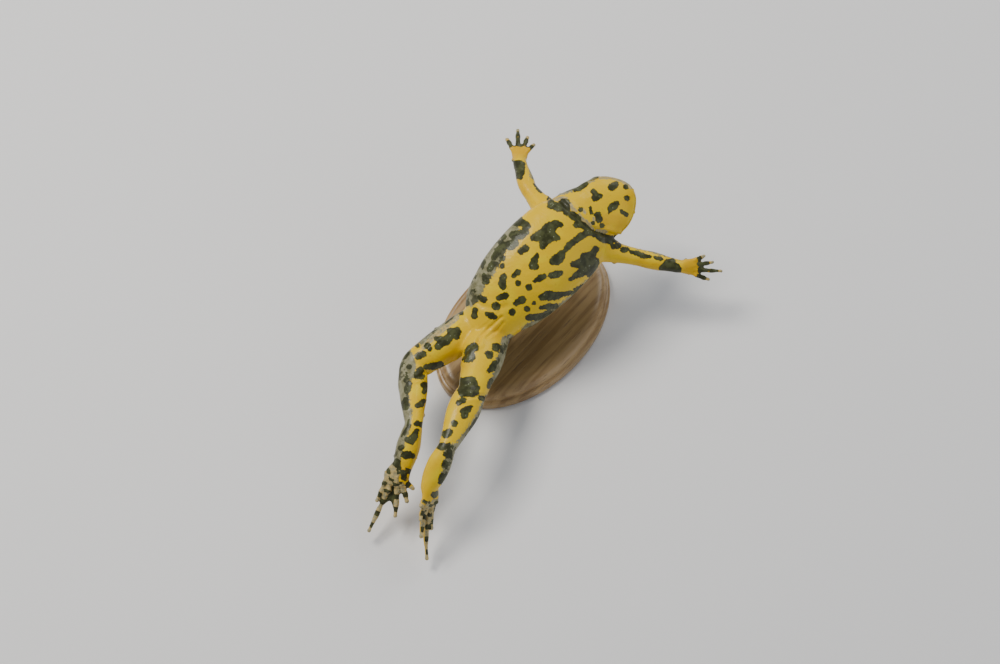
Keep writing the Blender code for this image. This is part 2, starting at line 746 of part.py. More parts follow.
def build():
    """Build the toad and its stand."""
    clear_scene()
    parts = new_collection("fire_toad")
    cutters = new_collection("cutters")
    flesh = flesh_piece(parts)

    grooves = [mouth_groove(cutters)]
    for side in (-1, 1):
        centre, look = eye_frame(side)
        grooves.append(ball("socket", centre, EYE_RADIUS + GAP, cutters, rings=9))
        grooves.append(lid_cutter(side, cutters))
        place, out, up = NOSTRIL_PLACE
        grooves.append(ball("nostril", head_point(place, out * side, up), NOSTRIL, cutters, rings=4))
    cut(flesh, grooves)
    flesh = fuse("flesh", [flesh, *wart_pieces(flesh, parts)], parts)
    cut(flesh, joint_cuts(cutters))
    nodes = split_flesh(flesh, joint_seeds(), parts)

    for side, (_, elbow, wrist) in ARMS.items():
        nodes["hand_" + side] = extremity(
            "hand_" + side, elbow, wrist, HAND_AIM[side], HAND_SIDE[side], MIRROR[side],
            HAND_OPEN[side], FINGERS, FINGER_RADIUS, PALM, False, parts,
        )
    for side, (_, _, ankle, foot) in LEGS.items():
        nodes["foot_" + side] = extremity(
            "foot_" + side, ankle, foot, FOOT_AIM[side], FOOT_SIDE[side], MIRROR[side],
            FOOT_OPEN[side], TOES, TOE_RADIUS, SOLE, True, parts,
        )
    for side, name in ((-1, "right"), (1, "left")):
        centre, look = eye_frame(side)
        nodes["eye_" + name] = ball("eye_" + name, centre, EYE_RADIUS, parts, rings=10)

    lowest, highest = bounds_of(nodes.values())
    shift = Vector(
        (-(lowest[0] + highest[0]) / 2, -(lowest[1] + highest[1]) / 2, FLOOR_CLEARANCE * MM - lowest[2])
    )
    for item in nodes.values():
        item.data.transform(Matrix.Translation(shift))
    base_centre = Vector((*BASE_CENTRE, 0)) * MM + shift
    nodes["stand_base"] = base_piece("stand_base", base_centre, parts)
    bpy.context.view_layer.update()
    tree = BVHTree.FromObject(nodes["torso"], bpy.context.evaluated_depsgraph_get())
    sockets = []
    top_of_base = (BASE_SIZE[2] + GAP) * MM
    for name, (across, along) in ROD_PLACES.items():
        place = Vector((across, along, 0)) * MM + shift
        start = Vector((place.x, place.y, 0))
        hit, _, _, _ = tree.ray_cast(start, Vector((0, 0, 1)))
        top = hit.z + ROD_SINK * MM
        node = "stand_rod_" + name
        nodes[node] = rod(node, place, top_of_base, top, ROD_RADIUS, parts)
        sockets.append(rod("socket", place, top_of_base, top + GAP * MM, ROD_RADIUS + GAP, cutters))
    cut(nodes["torso"], sockets)

    finish(nodes)


def finish(nodes):
    """Give each node its own material and smooth shading."""
    for name, item in nodes.items():
        item.name = name
        if name == "stand_base":
            colour, roughness, metallic = COLOURS["wood"], 0.5, 0.0
        elif name.startswith("stand_"):
            colour, roughness, metallic = COLOURS["steel"], 0.3, 1.0
        elif name.startswith("eye_"):
            colour, roughness, metallic = COLOURS["eye"], 0.1, 0.0
        elif name.startswith(("foot_", "hand_", "tarsus_")):
            colour, roughness, metallic = COLOURS["mottled"], 0.45, 0.0
        else:
            colour, roughness, metallic = COLOURS["skin"], 0.45, 0.0
        item.data.materials.clear()
        item.data.materials.append(make_material(name, colour, roughness, metallic))
        item.data.shade_smooth()
        item.data.set_sharp_from_angle(angle=math.radians(50))


build()
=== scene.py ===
"""Looks of a life-size fire-bellied toad, belly up with its limbs spread, on a small stand.

Lengths are in millimetres and become metres where a mesh is placed. The body frame has x to the
animal's left, y towards its head and z out of its belly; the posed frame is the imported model's.
Markings are laid out in the photograph's frame of 1000 by 664 pixels, 5 pixels to a millimetre.
"""

import logging
import math
from collections.abc import Iterable, Sequence
from dataclasses import dataclass, field
from enum import Enum
from itertools import product

import bmesh
import bpy
import numpy as np
from mathutils import Matrix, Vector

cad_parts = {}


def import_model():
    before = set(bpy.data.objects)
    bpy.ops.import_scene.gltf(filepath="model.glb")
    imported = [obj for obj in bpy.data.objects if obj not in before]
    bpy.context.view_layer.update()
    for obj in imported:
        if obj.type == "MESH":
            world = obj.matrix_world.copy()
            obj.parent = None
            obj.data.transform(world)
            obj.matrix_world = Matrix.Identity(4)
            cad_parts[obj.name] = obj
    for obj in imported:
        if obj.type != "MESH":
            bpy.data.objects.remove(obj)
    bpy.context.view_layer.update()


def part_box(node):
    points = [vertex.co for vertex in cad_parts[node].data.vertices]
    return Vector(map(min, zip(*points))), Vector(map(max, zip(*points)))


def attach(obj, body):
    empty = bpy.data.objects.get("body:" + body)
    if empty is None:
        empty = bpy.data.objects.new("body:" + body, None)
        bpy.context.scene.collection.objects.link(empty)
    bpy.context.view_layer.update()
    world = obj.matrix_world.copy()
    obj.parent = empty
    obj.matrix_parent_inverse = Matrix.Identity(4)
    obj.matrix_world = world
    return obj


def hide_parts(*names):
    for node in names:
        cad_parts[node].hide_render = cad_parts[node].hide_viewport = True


Array = np.ndarray
Row = tuple[float, ...]

MM = 0.001
log = logging.getLogger("toad")


class Side(Enum):
    """A side of the animal, with the sign of x on it."""

    RIGHT = -1
    LEFT = 1

    @property
    def word(self) -> str:
        """The side's name as nodes carry it."""
        return self.name.lower()


# Plain vector sums on whole arrays


def unit(vectors: Array) -> Array:
    """Scale each vector to a length of one."""
    vectors = np.asarray(vectors, float)
    return vectors / np.linalg.norm(vectors, axis=-1, keepdims=True)


def rise(values: Array, low: float, high: float) -> Array:
    """Rise from 0 at low to 1 at high along the cubic 3t^2 - 2t^3, and stay level outside."""
    t = np.clip((values - low) / (high - low), 0.0, 1.0)
    return t * t * (3.0 - 2.0 * t)


def hump(distance: Array, width: float) -> Array:
    """A bell of height 1: e to the power of minus the square of distance over width."""
    return np.exp(-np.square(distance / width))


def through(rows: Sequence[Row], steps: int) -> Array:
    """Read a Catmull-Rom curve through rows of numbers.

    Args:
        rows: The rows that the curve passes through.
        steps: How many rows are read between each two.

    Returns:
        The rows of the curve, the last one included.
    """
    rows = np.asarray(rows, float)
    padded = np.vstack([2 * rows[0] - rows[1], rows, 2 * rows[-1] - rows[-2]])
    a, b, c, d = (padded[i : len(rows) - 1 + i, None] for i in range(4))
    t = np.linspace(0, 1, steps, endpoint=False)[None, :, None]
    square, cube = 2 * a - 5 * b + 4 * c - d, 3 * b - a - 3 * c + d
    curve = 0.5 * (2 * b + (c - a) * t + square * t**2 + cube * t**3)
    return np.vstack([curve.reshape(-1, rows.shape[1]), rows[-1:]])


def lattice_noise(points: Array, size: float, seed: int) -> Array:
    """Smooth random values from -1 to 1.

    Each value blends the random numbers at the eight corners of the lattice cell that the point
    lies in, weighted by the cubic 3t^2 - 2t^3 of its place in the cell.

    Args:
        points: The places to read, in millimetres.
        size: The side of a lattice cell.
        seed: The seed of the random numbers.
    """
    count = 48
    table = np.random.default_rng(seed).uniform(-1, 1, (count, count, count))
    cells = points / size
    base = np.floor(cells).astype(int)
    part = cells - base
    part = part * part * (3 - 2 * part)
    total = np.zeros(len(points))
    for corner in product((0, 1), repeat=3):
        weight = np.prod(np.where(corner, part, 1 - part), axis=1)
        total += weight * table[tuple(((base + corner) % count).T)]
    return total


def distance_to_path(points: Array, path: Array) -> tuple[Array, Array, Array]:
    """Measure how far points lie from a path of straight lengths.

    Args:
        points: Places as rows of any number of coordinates.
        path: The path's corners, in the same coordinates.

    Returns:
        The distance, the length of path up to the nearest place, and that place's corner number
        as a number with a fraction.
    """
    best = np.full(len(points), np.inf)
    along = np.zeros(len(points))
    place = np.zeros(len(points))
    run = 0.0
    for i, (start, end) in enumerate(zip(path, path[1:])):
        way = end - start
        length = float(np.linalg.norm(way))
        share = np.clip((points - start) @ way / max(length**2, 1e-9), 0, 1)
        gap = np.linalg.norm(points - start - share[:, None] * way, axis=1)
        nearer = gap < best
        best = np.where(nearer, gap, best)
        along = np.where(nearer, run + share * length, along)
        place = np.where(nearer, i + share, place)
        run += length
    return best, along, place


def within(names: Array, *words: str) -> Array:
    """Tell which of the points' region names start with one of the words."""
    return np.isin(names, [name for name in np.unique(names) if name.startswith(words)])


# Objects in the scene


def add_object(name: str, data: bpy.types.ID) -> bpy.types.Object:
    """Put a mesh, lamp or camera into the scene."""
    item = bpy.data.objects.new(name, data)
    bpy.context.scene.collection.objects.link(item)
    return item


def set_axes(item: bpy.types.Object, *columns: Array) -> None:
    """Turn and place an object by its own x, y and z ways and its origin."""
    rows = np.column_stack(columns)
    item.matrix_world = Matrix([*rows.tolist(), [0, 0, 0, 1]])


# Surfaces as points and faces


@dataclass(frozen=True)
class Surface:
    """A mesh as arrays: points in millimetres, and faces as rows of point numbers."""

    points: Array
    quads: Array
    fans: Array

    @staticmethod
    def join(parts: Iterable["Surface"]) -> "Surface":
        """Put several surfaces into one, none of them changed."""
        points, quads, fans, start = [], [], [], 0
        for part in parts:
            points.append(part.points)
            quads.append(part.quads + start)
            fans.append(part.fans + start)
            start += len(part.points)
        return Surface(np.vstack(points), np.vstack(quads), np.vstack(fans))

    def moved(self, points: Array) -> "Surface":
        """Return the same faces on other points."""
        return Surface(points, self.quads, self.fans)

    def mesh(self, name: str) -> bpy.types.Mesh:
        """Write the surface into a new Blender mesh, in its own units."""
        data = bpy.data.meshes.new(name)
        data.from_pydata(self.points.tolist(), [], self.quads.tolist() + self.fans.tolist())
        data.update()
        return data


def tube(rings: Array) -> Surface:
    """Close a grid of rings into a tube with a pole at each end.

    Args:
        rings: Points in an array of ring, place round the ring, and coordinate.
    """
    count, sides, _ = rings.shape
    ring, place = np.meshgrid(np.arange(count - 1) * sides, np.arange(sides), indexing="ij")
    after = (place + 1) % sides
    corners = [ring + place, ring + after, ring + sides + after, ring + sides + place]
    quads = np.stack(corners, axis=-1).reshape(-1, 4)
    near = np.arange(sides)
    far = near + (count - 1) * sides
    first, last = count * sides, count * sides + 1
    fans = np.vstack(
        [
            np.column_stack([np.roll(near, -1), near, np.full(sides, first)]),
            np.column_stack([far, np.roll(far, -1), np.full(sides, last)]),
        ]
    )
    points = np.vstack([rings.reshape(-1, 3), rings[0].mean(axis=0), rings[-1].mean(axis=0)])
    return Surface(points, quads, fans)


def loft(
    centres: Array,
    widths: Array,
    bellies: Array,
    backs: Array,
    belly_way: Row,
    twists: Array | None = None,
    sides: int = 64,
) -> Surface:
    """Carry an oval section along a path.

    A point at angle A is the centre, plus the half width times cos A across, plus the depth times
    sin A towards the belly, where the depth is the belly's for sin A above 0 and else the back's.

    Args:
        centres: The path.
        widths: The half width at each place of the path.
        bellies: The depth towards the belly at each place.
        backs: The depth towards the back at each place.
        belly_way: Roughly where the belly faces.
        twists: Degrees that each section is turned about the path, if any.
        sides: How many points each section has.
    """
    along = unit(np.gradient(centres, axis=0))
    across = unit(np.cross(along, np.asarray(belly_way, float)))
    belly = np.cross(across, along)
    if twists is not None:
        turn = np.radians(twists)[:, None]
        across, belly = (
            across * np.cos(turn) - belly * np.sin(turn),
            belly * np.cos(turn) + across * np.sin(turn),
        )
    angle = np.linspace(0, 2 * math.pi, sides, endpoint=False)[None, :, None]
    depth = np.where(np.sin(angle) > 0, bellies[:, None, None], backs[:, None, None])
    out = np.cos(angle) * widths[:, None, None] * across[:, None, :]
    up = np.sin(angle) * depth * belly[:, None, :]
    return tube(centres[:, None, :] + out + up)


def ball(centre: Array, radius: float, sides: int = 48) -> Surface:
    """A sphere: rings at evenly spaced angles from one pole to the other."""
    polar = np.linspace(0, math.pi, sides // 2 + 1)[1:-1, None]
    round_it = np.linspace(0, 2 * math.pi, sides, endpoint=False)[None, :]
    shape = [np.sin(polar) * np.cos(round_it), np.sin(polar) * np.sin(round_it)]
    shape.append(np.cos(polar) * np.ones_like(round_it))
    return tube(np.asarray(centre) + radius * np.stack(shape, axis=-1))


@dataclass(frozen=True)
class Bone:
    """The middle line of a piece of flesh, with its radius at each corner."""

    region: str
    path: Array
    radii: Array
    digit: bool = False


# The body's pieces of flesh


@dataclass(frozen=True)
class Trunk:
    """Trunk from the vent to the neck: centre, half width, belly depth, back depth, twist."""

    rows: tuple[Row, ...] = (
        (0.9, -5.4, -1.9, 2.0, 1.8, 2.2, -9),
        (0.8, -3.8, -1.4, 3.8, 3.2, 3.8, -9),
        (0.0, 0.0, 0.0, 5.3, 4.3, 4.9, -8),
        (-0.9, 4.8, 0.8, 7.5, 5.2, 5.6, -4),
        (-0.9, 11.7, 2.0, 9.0, 6.1, 6.2, 0),
        (-0.4, 18.8, 2.7, 9.4, 6.0, 6.2, 4),
        (0.2, 24.7, 3.1, 8.9, 5.1, 5.6, 7),
        (0.2, 28.6, 3.2, 6.8, 4.2, 4.9, 5),
        (1.2, 31.6, 3.3, 5.6, 3.2, 4.0, 0),
    )

    def surface(self) -> Surface:
        """Loft the trunk through its sections."""
        rows = through(self.rows, 10)
        return loft(rows[:, :3], rows[:, 3], rows[:, 4], rows[:, 5], (0, 0, 1), rows[:, 6], 96)

    def bone(self) -> Bone:
        """Return the trunk's middle line."""
        rows = through(self.rows, 3)
        return Bone("torso", rows[:, :3], rows[:, 3:6].mean(axis=1))


@dataclass(frozen=True)
class Head:
    """Head along its own axis.

    Attributes:
        start: Where the axis starts, in the neck.
        aim: Where it ends, at the snout's tip.
        rows: For each section its share along the axis, half width, throat's and crown's depth.
        mouth_height: How far the mouth's line lies towards the throat.
        mouth_from: The share along the head where it starts.
        line_depth: The depth of the mouth's line.
        line_width: Its width.
        lips: Height, distance from the line and width of each lip's swelling.
        nostril_place: A nostril's share along the head, distance out and towards the throat.
        nostril_radius: Its radius.
        nostril_depth: Its depth.
    """

    start: Row = (-0.1, 27.6, 3.1)
    aim: Row = (4.2, 39.7, 3.7)
    rows: tuple[Row, ...] = (
        (0.02, 5.6, 3.3, 4.4),
        (0.17, 6.1, 3.3, 4.4),
        (0.34, 6.35, 3.1, 4.3),
        (0.50, 6.2, 2.8, 4.1),
        (0.66, 5.6, 2.4, 3.5),
        (0.80, 4.5, 2.0, 2.8),
        (0.90, 3.3, 1.6, 2.2),
        (0.97, 1.9, 1.1, 1.5),
        (1.00, 0.8, 0.6, 0.8),
    )
    mouth_height: float = 0.75
    mouth_from: float = 0.42
    line_depth: float = 0.26
    line_width: float = 0.17
    lips: tuple[Row, ...] = ((0.09, 0.42, 0.22), (0.12, -0.45, 0.25))
    nostril_place: Row = (0.93, 1.25, -1.75)
    nostril_radius: float = 0.3
    nostril_depth: float = 0.34

    @property
    def axes(self) -> tuple[Array, Array, Array]:
        """Ways along the head, across it to the animal's left, and towards the throat."""
        along = unit(np.subtract(self.aim, self.start))
        across = unit(np.cross(along, (0, 0, 1)))
        return along, across, np.cross(across, along)

    @property
    def length(self) -> float:
        """Length of the head's axis."""
        return float(np.linalg.norm(np.subtract(self.aim, self.start)))

    def point(self, place: float, out: float, up: float) -> Array:
        """Turn a place of the head into the body frame."""
        along, across, throat = self.axes
        return np.asarray(self.start) + along * self.length * place + across * out + throat * up

    def places(self, points: Array) -> tuple[Array, Array, Array]:
        """Turn body points into share along the head, distance out and distance to the throat."""
        along, across, throat = self.axes
        offset = points - np.asarray(self.start)
        return offset @ along / self.length, offset @ across, offset @ throat

    def surface(self) -> Surface:
        """Loft the head through its sections."""
        rows = through(self.rows, 10)
        along, _, throat = self.axes
        centres = np.asarray(self.start) + np.outer(rows[:, 0] * self.length, along)
        return loft(centres, rows[:, 1], rows[:, 2], rows[:, 3], tuple(throat), sides=96)

    def bone(self) -> Bone:
        """Return the head's middle line."""
        rows = np.asarray(self.rows)
        along, _, _ = self.axes
        centres = np.asarray(self.start) + np.outer(rows[:, 0] * self.length, along)
        return Bone("head", centres[1:], np.maximum(rows[1:, 1:].mean(axis=1), 1.4))


@dataclass(frozen=True)
class Eye:
    """Eye and lids.

    Attributes:
        side: The side that it is on.
        place: The ball's share along the head, distance out and towards the throat.
        look: Which way it looks: out, along the head and towards the throat.
        radius: The ball's radius.
        forward: How far the ball stands out of the head.
        lid: The thickness of the skin over it.
        opening: Half the length and half the height of the lids' opening.
        rim: The height of the lids' rims.
        socket_depth: The depth of the socket's floor.
        cornea: How far the cornea swells, as a share of the radius.
        iris_angle: Degrees from the middle of the pupil to the edge of the iris.
        pupil: The pupil's reach, as a share of the iris.
        pupil_corners: How far its corners stand out, as a share.
    """

    side: Side
    place: Row = (0.58, 3.5, -2.8)
    look: Row = (0.78, 0.18, -0.60)
    radius: float = 1.9
    forward: float = 0.22
    lid: float = 0.42
    opening: Row = (1.62, 1.36)
    rim: float = 0.13
    socket_depth: float = 1.5
    cornea: float = 0.07
    iris_angle: float = 62.0
    pupil: float = 0.36
    pupil_corners: float = 0.2

    def frame(self, head: Head) -> tuple[Array, Array, Array, Array]:
        """Return the ball's centre, the way it looks, and its long and short ways."""
        along, across, throat = head.axes
        place, out, up = self.place
        centre = head.point(place, out * self.side.value, up)
        look = unit(along * self.look[1] + across * self.look[0] * self.side.value + throat * self.look[2])
        long_way = unit(along - look * (along @ look))
        return centre, look, long_way, np.cross(look, long_way)

    def brow(self, head: Head) -> Surface:
        """Return the swelling of the skin that covers the ball."""
        centre, look, _, _ = self.frame(head)
        return ball(centre + look * self.forward, self.radius + self.lid)

    def ovals(self, head: Head, points: Array) -> tuple[Array, Array]:
        """Return the oval distance from the opening's middle, 1 on its edge, and the height."""
        centre, look, long_way, short_way = self.frame(head)
        offset = points - centre
        wide, high = self.opening
        oval = np.hypot(offset @ long_way / wide, offset @ short_way / high)
        return oval, offset @ look

    def eyeball(self, head: Head) -> tuple[Surface, dict[str, Array]]:
        """Make the ball with its cornea, and its iris and pupil as values of each point.

        At polar angle P from the way it looks, the radius is the ball's times one plus the
        cornea's swelling, a bell of P. The pupil's edge lies at a share of the iris that swells
        with the cosine of three times the angle round it, which gives three blunt corners.
        """
        centre, look, long_way, short_way = self.frame(head)
        polar = np.linspace(0, math.pi, 73)[1:-1, None]
        turn = np.linspace(0, 2 * math.pi, 96, endpoint=False)[None, :]
        reach = self.radius * (1 + self.cornea * hump(polar, 0.6))
        flat = np.cos(turn)[..., None] * long_way + np.sin(turn)[..., None] * short_way
        shape = np.sin(polar)[..., None] * flat + np.cos(polar)[..., None] * look
        surface = tube(centre + look * self.forward + reach[..., None] * shape)
        offset = unit(surface.points - centre - look * self.forward)
        angle = np.arccos(np.clip(offset @ look, -1, 1))
        _, _, throat = head.axes
        down = math.atan2(float(throat @ short_way), float(throat @ long_way))
        round_it = np.arctan2(offset @ short_way, offset @ long_way) - down
        share = angle / math.radians(self.iris_angle)
        edge = self.pupil * (1 + self.pupil_corners * np.cos(3 * round_it))
        return surface, {"iris": share, "pupil": edge - share}


@dataclass(frozen=True)
class Limb:
    """A limb as lengths between joints.

    Attributes:
        side: The side that it is on.
        joints: Its joints, from the trunk outwards.
        regions: What each length is called.
        half_widths: Each length's half widths, from its root to its end.
        flatness: Depth over width.
        overrun: How far the last length runs on into the hand or foot.
    """

    side: Side
    joints: tuple[Row, ...]
    regions: tuple[str, ...]
    half_widths: tuple[Row, ...]
    flatness: float = 0.86
    overrun: float = 1.0

    @property
    def names(self) -> list[str]:
        """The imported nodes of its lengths."""
        return [f"{region}_{self.side.word}" for region in self.regions]

    def lengths(self) -> list[tuple[str, Array, Array, Row]]:
        """Return each length's node, start, end and half widths."""
        ends = [np.asarray(joint, float) for joint in self.joints]
        return list(zip(self.names, ends, ends[1:], self.half_widths))

    def surfaces(self) -> list[Surface]:
        """Loft each length, rounded where it meets the next."""
        made = []
        for name, start, end, radii in self.lengths():
            way = unit(end - start)
            stop = end + way * (self.overrun if name == self.names[-1] else 0.0)
            places = [start + (end - start) * (i / (len(radii) - 1)) for i in range(len(radii))]
            places = [start - way * radii[0] * 0.7, *places, stop + way * radii[-1] * 0.7]
            sizes = [radii[0] * 0.6, *radii, radii[-1] * 0.6]
            rows = through([(*place, size) for place, size in zip(places, sizes)], 6)
            depths = rows[:, 3] * self.flatness
            made.append(loft(rows[:, :3], rows[:, 3], depths, depths, (0, 0, 1), sides=48))
        return made

    def bones(self) -> list[Bone]:
        """Return the middle line of each length."""
        made = []
        for name, start, end, radii in self.lengths():
            made.append(Bone(name, np.linspace(start, end, len(radii)), np.asarray(radii, float)))
        return made


@dataclass(frozen=True)
class Extremity:
    """A hand or a foot: a pad, and digits that fan out from it.

    Attributes:
        side: The side that it is on.
        region: What it is called.
        before: The joint before its root.
        root: The wrist, or the foot's root.
        aim: Which way the middle digit points.
        first_digit_way: Roughly which way the first digit lies from the others.
        opening: How far the digits are spread, where 1 is their full angle.
        digits: Each digit's length, angle and place across the pad.
        digit_radius: The digits' radius at the knuckle.
        pad: The pad's length, half width and half depth.
        webbed: Whether webs join the digits.
        heel: Where along the pad its own markings begin and are full.
        stations: The pad's half width and depth at its stations, as shares.
        station_places: Where the stations lie along the pad, as shares.
        curl: How far a digit bends towards the palm or sole, as a share of its length.
        web_reach: How far the webs reach along the shorter digit, as a share.
        web_notch: How deep their edge is notched, as a share.
        web_sag: How far they hang towards the sole.
    """

    side: Side
    region: str
    before: Row
    root: Row
    aim: Row
    first_digit_way: Row
    opening: float
    digits: tuple[Row, ...]
    digit_radius: float
    pad: Row
    webbed: bool
    heel: Row = (-0.4, 2.0)
    stations: tuple[Row, ...] = ((0.8, 1.45), (0.95, 1.0), (1.0, 0.75), (0.6, 0.4))
    station_places: Row = (0.5, 0.9, 1.15)
    curl: float = 0.06
    web_reach: float = 0.94
    web_notch: float = 0.3
    web_sag: float = 0.35

    @property
    def name(self) -> str:
        """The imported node."""
        return f"{self.region}_{self.side.word}"

    @property
    def axes(self) -> tuple[Array, Array, Array]:
        """Ways along the pad, across it to the first digit, and out of its upper side."""
        aim = unit(self.aim)
        across = np.asarray(self.first_digit_way, float)
        across = unit(across - aim * (across @ aim))
        return aim, across, np.cross(aim, across) * -self.side.value

    def paths(self) -> list[Array]:
        """Return the middle line of each digit, bent a little towards the palm or sole.

        A digit runs straight from its knuckle to its tip, less a parabola along the pad's normal.
        """
        aim, across, normal = self.axes
        root = np.asarray(self.root)
        share = np.linspace(0, 1, 4)[:, None]
        made = []
        for length, spread, place in self.digits:
            turn = math.radians(spread * self.opening)
            tip = root + (aim * math.cos(turn) + across * math.sin(turn)) * length
            knuckle = root + aim * (self.pad[0] * 0.72) + across * place
            bend = self.curl * float(np.linalg.norm(tip - knuckle)) * 4 * share * (1 - share)
            made.append(through(knuckle + (tip - knuckle) * share - normal * bend, 6))
        return made

    def rays(self) -> list[Array]:
        """Return the line from near the pad's root through each digit's knuckle to its tip."""
        root = np.asarray(self.root)
        return [np.vstack([root + (path[0] - root) * 0.15, path]) for path in self.paths()]

    def along(self, points: Array) -> Array:
        """Return how far points lie beyond the pad's root, the way that the limb runs."""
        root = np.asarray(self.root)
        return (points - root) @ unit(root - np.asarray(self.before))

    def surfaces(self) -> list[Surface]:
        """Loft the pad and the digits, each thicker at its joints and round at its tip."""
        aim, _, normal = self.axes
        root = np.asarray(self.root)
        entry = unit(root - np.asarray(self.before))
        reach, width, depth = self.pad
        places = [root - entry * 1.6, root + entry * 0.3]
        places += [root + aim * reach * share for share in self.station_places]
        shares = (self.stations[0], *self.stations)
        rows = through([(*at, width * wide, depth * deep) for at, (wide, deep) in zip(places, shares)], 6)
        made = [loft(rows[:, :3], rows[:, 3], rows[:, 4], rows[:, 4], tuple(normal), sides=40)]
        for path in self.paths():
            t = np.linspace(0, 1, len(path))
            swell = 1.0 - 0.28 * t + 0.09 * np.cos(t * 6 * math.pi)
            sizes = self.digit_radius * swell * np.sqrt(np.clip(1.03 - t**12, 0.12, 1))
            made.append(loft(path, sizes, sizes * 0.9, sizes * 0.9, tuple(normal), sides=24))
            made.append(ball(path[-1] - unit(path[-1] - path[-2]) * 0.3, self.digit_radius * 0.7, 20))
        return made

    def bones(self) -> list[Bone]:
        """Return the middle lines of the pad and of each digit."""
        aim, _, _ = self.axes
        root = np.asarray(self.root)
        palm = np.linspace(root, root + aim * self.pad[0], 4)
        made = [Bone(self.name, palm, np.full(4, self.pad[1]))]
        for path in self.paths():
            made.append(Bone(self.name, path, np.full(len(path), self.digit_radius), digit=True))
        return made

    def webs(self) -> list[Surface]:
        """Make the sheets between the toes.

        A point at share S across and T out lies between the two toes at T times the web's reach,
        which a sine of S notches, and sags towards the sole by a sine of S times T.
        """
        _, _, normal = self.axes
        made = []
        rows, columns = 16, 11
        paths = self.paths()
        for first, second in zip(paths, paths[1:]):
            lengths = [float(np.linalg.norm(path[-1] - path[0])) for path in (first, second)]
            across = np.linspace(0, 1, columns)[None, :]
            out = np.linspace(0, 1, rows)[:, None]
            notch = 1 - self.web_notch * np.sin(math.pi * across)
            reach = min(lengths) * self.web_reach * notch * out
            sides = []
            for path, length in zip((first, second), lengths):
                place = reach / length * (len(path) - 1)
                steps = np.arange(len(path))
                sides.append(np.stack([np.interp(place, steps, path[:, k]) for k in range(3)], axis=-1))
            share = across[..., None]
            sag = (np.sin(math.pi * across) * out * self.web_sag)[..., None]
            grid = sides[0] * (1 - share) + sides[1] * share - normal * sag
            made.append(sheet(grid))
        return made


def sheet(grid: Array) -> Surface:
    """Make an open surface from a grid of points."""
    rows, columns, _ = grid.shape
    row, column = np.meshgrid(np.arange(rows - 1), np.arange(columns - 1), indexing="ij")
    corner = row * columns + column
    quads = np.stack([corner, corner + 1, corner + columns + 1, corner + columns], axis=-1)
    return Surface(grid.reshape(-1, 3), quads.reshape(-1, 4), np.empty((0, 3), int))


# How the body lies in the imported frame, and how the photograph sees it


@dataclass(frozen=True)
class BodyPose:
    """Where the body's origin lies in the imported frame, and its pitch and roll in degrees."""

    origin: Array
    pitch: float = 11.0
    roll: float = 30.0

    @staticmethod
    def turn(pitch: float, roll: float) -> Array:
        """Return the matrix of a roll about y followed by a pitch about x."""
        a, b = math.radians(pitch), math.radians(roll)
        pitching = np.array([[1, 0, 0], [0, math.cos(a), -math.sin(a)], [0, math.sin(a), math.cos(a)]])
        rolling = np.array([[math.cos(b), 0, math.sin(b)], [0, 1, 0], [-math.sin(b), 0, math.cos(b)]])
        return pitching @ rolling

    @property
    def matrix(self) -> Array:
        """The turn from the body frame to the posed frame."""
        return self.turn(self.pitch, self.roll)

    def place(self, points: Array) -> Array:
        """Turn body points into posed points."""
        return points @ self.matrix.T + self.origin

    @classmethod
    def from_eye(cls, eye: Eye, head: Head, node: str) -> "BodyPose":
        """Find the pose's origin from the box of an eye's node."""
        low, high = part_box(node)
        middle = (np.asarray(low) + np.asarray(high)) / 2 / MM
        centre, _, _, _ = eye.frame(head)
        return cls(middle - cls.turn(cls.pitch, cls.roll) @ centre)


@dataclass(frozen=True)
class PhotoView:
    """The photograph's view: where the camera stands and how points fall on the picture.

    Attributes:
        pose: How the body lies.
        azimuth: Degrees that the camera is turned round the upright axis.
        elevation: Degrees that it looks down.
        lens: Its focal length.
        sensor: Its sensor's width.
        picture: The picture's width and height in pixels.
        pixels_per_mm: Pixels to a millimetre at the target.
        target_shift: How far the target lies to the right and to the top of the body's origin.
    """

    pose: BodyPose
    azimuth: float = 40.0
    elevation: float = 60.0
    lens: float = 200.0
    sensor: float = 36.0
    picture: Row = (1000.0, 664.0)
    pixels_per_mm: float = 5.0
    target_shift: Row = (2.4, -1.4)

    @property
    def axes(self) -> tuple[Array, Array, Array]:
        """Ways to the right and to the top of the picture, and towards the camera."""
        a, e = math.radians(self.azimuth), math.radians(self.elevation)
        right = np.array([math.cos(a), math.sin(a), 0.0])
        ahead = np.array([-math.sin(a), math.cos(a), 0.0])
        upright = np.array([0.0, 0.0, 1.0])
        top = ahead * math.sin(e) + upright * math.cos(e)
        towards = -ahead * math.cos(e) + upright * math.sin(e)
        return right, top, towards

    @property
    def target(self) -> Array:
        """The point that the camera looks at."""
        right, top, _ = self.axes
        return self.pose.origin + right * self.target_shift[0] + top * self.target_shift[1]

    @property
    def distance(self) -> float:
        """How far the camera stands from its target."""
        return self.lens / self.sensor * self.picture[0] / self.pixels_per_mm

    def pixels(self, body_points: Array) -> Array:
        """Project body points into the picture."""
        right, top, towards = self.axes
        offset = self.pose.place(body_points) - self.target
        scale = self.pixels_per_mm * self.distance / (self.distance - offset @ towards)
        return np.column_stack(
            [self.picture[0] / 2 + offset @ right * scale, self.picture[1] / 2 - offset @ top * scale]
        )

    def towards(self) -> Array:
        """Return the way towards the camera, in the body frame."""
        return self.axes[2] @ self.pose.matrix

    def add_camera(self) -> None:
        """Make the camera and look through it."""
        data = bpy.data.cameras.new("camera")
        data.lens = self.lens
        data.sensor_width = self.sensor
        data.clip_start = 0.01
        item = add_object("camera", data)
        right, top, towards = self.axes
        set_axes(item, right, top, towards, (self.target + towards * self.distance) * MM)
        bpy.context.scene.camera = item


# Markings, as discs of x, y and radius in photograph pixels, joined in chains


